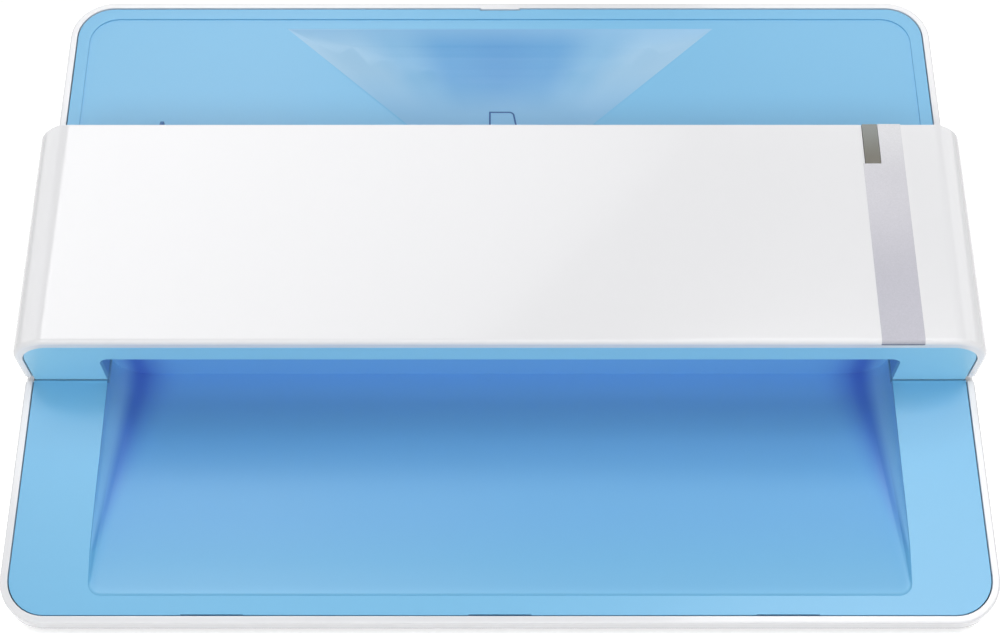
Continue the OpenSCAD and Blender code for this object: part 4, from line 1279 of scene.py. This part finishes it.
@dataclass(frozen=True)
class Softbox:
    """One area lamp."""

    name: str
    place: tuple[float, float, float]
    turn: tuple[float, float, float]
    size: tuple[float, float]
    radiance: float
    fall: Span = (1.0, 1.0)

    def build(self) -> None:
        """Hangs the lamp; its light may change from one side to the other."""
        lamp = bpy.data.lights.new(self.name, "AREA")
        lamp.shape = "RECTANGLE"
        lamp.size, lamp.size_y = self.size
        lamp.energy = self.radiance * math.pi * self.size[0] * self.size[1]
        holder = bpy.data.objects.new(self.name, lamp)
        holder.location = self.place
        holder.rotation_euler = Euler([math.radians(angle) for angle in self.turn])
        bpy.context.scene.collection.objects.link(holder)
        if self.fall[0] != self.fall[1]:
            self.shade(lamp)

    def shade(self, lamp: bpy.types.Light) -> None:
        """Lets the lamp's light run from one level to another across its height."""
        lamp.use_nodes = True
        tree = lamp.node_tree
        place = tree.nodes.new("ShaderNodeNewGeometry").outputs["Parametric"]
        height = Effects.node(tree, "SeparateXYZ", {"Vector": place}).outputs["Y"]
        low, high = self.fall
        level = Effects.node(tree, "MapRange", {"Value": height, "To Min": low, "To Max": high})
        tree.links.new(level.outputs["Result"], tree.nodes["Emission"].inputs["Strength"])


@dataclass
class Studio:
    """Camera, lamps, floor and backdrop."""

    eye: tuple[float, float, float] = (0.0, -532.8 * MM, 248.1 * MM)
    pitch: float = 18.43
    lens: float = 63.9
    sensor: float = 36.0
    near: float = 0.01
    ambient: float = 0.11
    floor_glow: float = 0.6
    floor_side: float = 2.3
    floor_tone: float = 0.88
    floor_roughness: float = 0.9
    boxes: tuple[Softbox, ...] = field(
        default_factory=lambda: (
            Softbox("overhead_box", (-0.275, -0.35, 1.3), (0, 0, 47.5), (0.75, 0.55), 2.3, (0.5, 1.8)),
            Softbox("left_box", (-1.2, 0.25, 0.92), (0, -90, 0), (1.1, 1.4), 1.05),
            Softbox("right_box", (1.3, 0.2, 0.95), (0, 90, 0), (0.8, 1.0), 1.0),
            Softbox("front_box", (0, -1.7, 0.27), (90, 0, 0), (2.4, 0.5), 3.1),
            Softbox("high_box", (0.25, -1.45, 1.0), (58, 0, 10), (1.0, 0.5), 1.5),
            Softbox("sheen_box", (0.6, -0.8, 1.3), (0, 0, 0), (0.8, 0.6), 4.3),
            Softbox("rear_sheen_box", (0.45, -0.1, 1.3), (0, 0, 0), (0.5, 0.22), 3.0),
            Softbox("rear_box", (0, 1.7, 0.75), (-80, 0, 0), (2.0, 0.9), 2.6),
        )
    )

    def build(self) -> None:
        """Sets up the studio."""
        scene = bpy.context.scene
        scene.view_settings.view_transform = "Standard"
        camera = bpy.data.cameras.new("photo_camera")
        camera.lens = self.lens
        camera.sensor_fit = "HORIZONTAL"
        camera.sensor_width = self.sensor
        camera.clip_start = self.near
        holder = bpy.data.objects.new("photo_camera", camera)
        holder.location = self.eye
        holder.rotation_euler = (math.radians(90 - self.pitch), 0, 0)
        scene.collection.objects.link(holder)
        scene.camera = holder
        self.light_world(scene)
        for box in self.boxes:
            box.build()
        self.lay_floor()

    def light_world(self, scene: bpy.types.Scene) -> None:
        """Gives the room an even light, seen as white by the camera."""
        world = bpy.data.worlds.new("room")
        world.use_nodes = True
        scene.world = world
        tree = world.node_tree
        path = tree.nodes.new("ShaderNodeLightPath")
        room = tree.nodes["Background"]
        room.inputs["Strength"].default_value = self.ambient
        room.inputs["Color"].default_value = (1, 1, 1, 1)
        shown = Effects.node(tree, "Background", {"Color": (1, 1, 1, 1)})
        mix = tree.nodes.new("ShaderNodeMixShader")
        tree.links.new(self.seen(tree, path), mix.inputs[0])
        tree.links.new(room.outputs[0], mix.inputs[1])
        tree.links.new(shown.outputs[0], mix.inputs[2])
        tree.links.new(mix.outputs[0], tree.nodes["World Output"].inputs["Surface"])

    @staticmethod
    def seen(tree: Tree, path: Node) -> Socket:
        """Returns 1 for rays that show the background: from the camera, off gloss or through glass."""
        either = Effects.calc(tree, "MAXIMUM", path.outputs["Is Camera Ray"], path.outputs["Is Glossy Ray"])
        return Effects.calc(tree, "MAXIMUM", either, path.outputs["Is Transmission Ray"])

    def lay_floor(self) -> None:
        """Lays a pale floor that keeps the object's shadow and looks white."""
        bpy.ops.object.select_all(action="DESELECT")
        bpy.ops.mesh.primitive_plane_add(size=self.floor_side)
        floor = bpy.context.view_layer.objects.active
        floor.name = "studio_floor"
        material = bpy.data.materials.new("floor_paper")
        material.use_nodes = True
        tree = material.node_tree
        shader = tree.nodes["Principled BSDF"]
        shader.inputs["Base Color"].default_value = (self.floor_tone, self.floor_tone, self.floor_tone, 1)
        shader.inputs["Roughness"].default_value = self.floor_roughness
        shader.inputs["Specular IOR Level"].default_value = 0.0
        shader.inputs["Emission Color"].default_value = (1, 1, 1, 1)
        path = tree.nodes.new("ShaderNodeLightPath")
        glow = Effects.calc(tree, "MULTIPLY", self.seen(tree, path), self.floor_glow)
        tree.links.new(glow, shader.inputs["Emission Strength"])
        floor.data.materials.append(material)


def main() -> None:
    """Builds the scanner's looks and its studio."""
    logging.basicConfig(level=logging.INFO, format="%(name)s %(message)s")
    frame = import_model()
    nodes = frame["nodes"]
    Studio().build()
    for assembly in (SlopedDeck, BridgeCover, WedgeHousing, PaperPath, DriveTrain, Electronics):
        LOG.info("building %s", assembly.__name__)
        assembly(nodes).build()


if __name__ == "__main__":
    main()
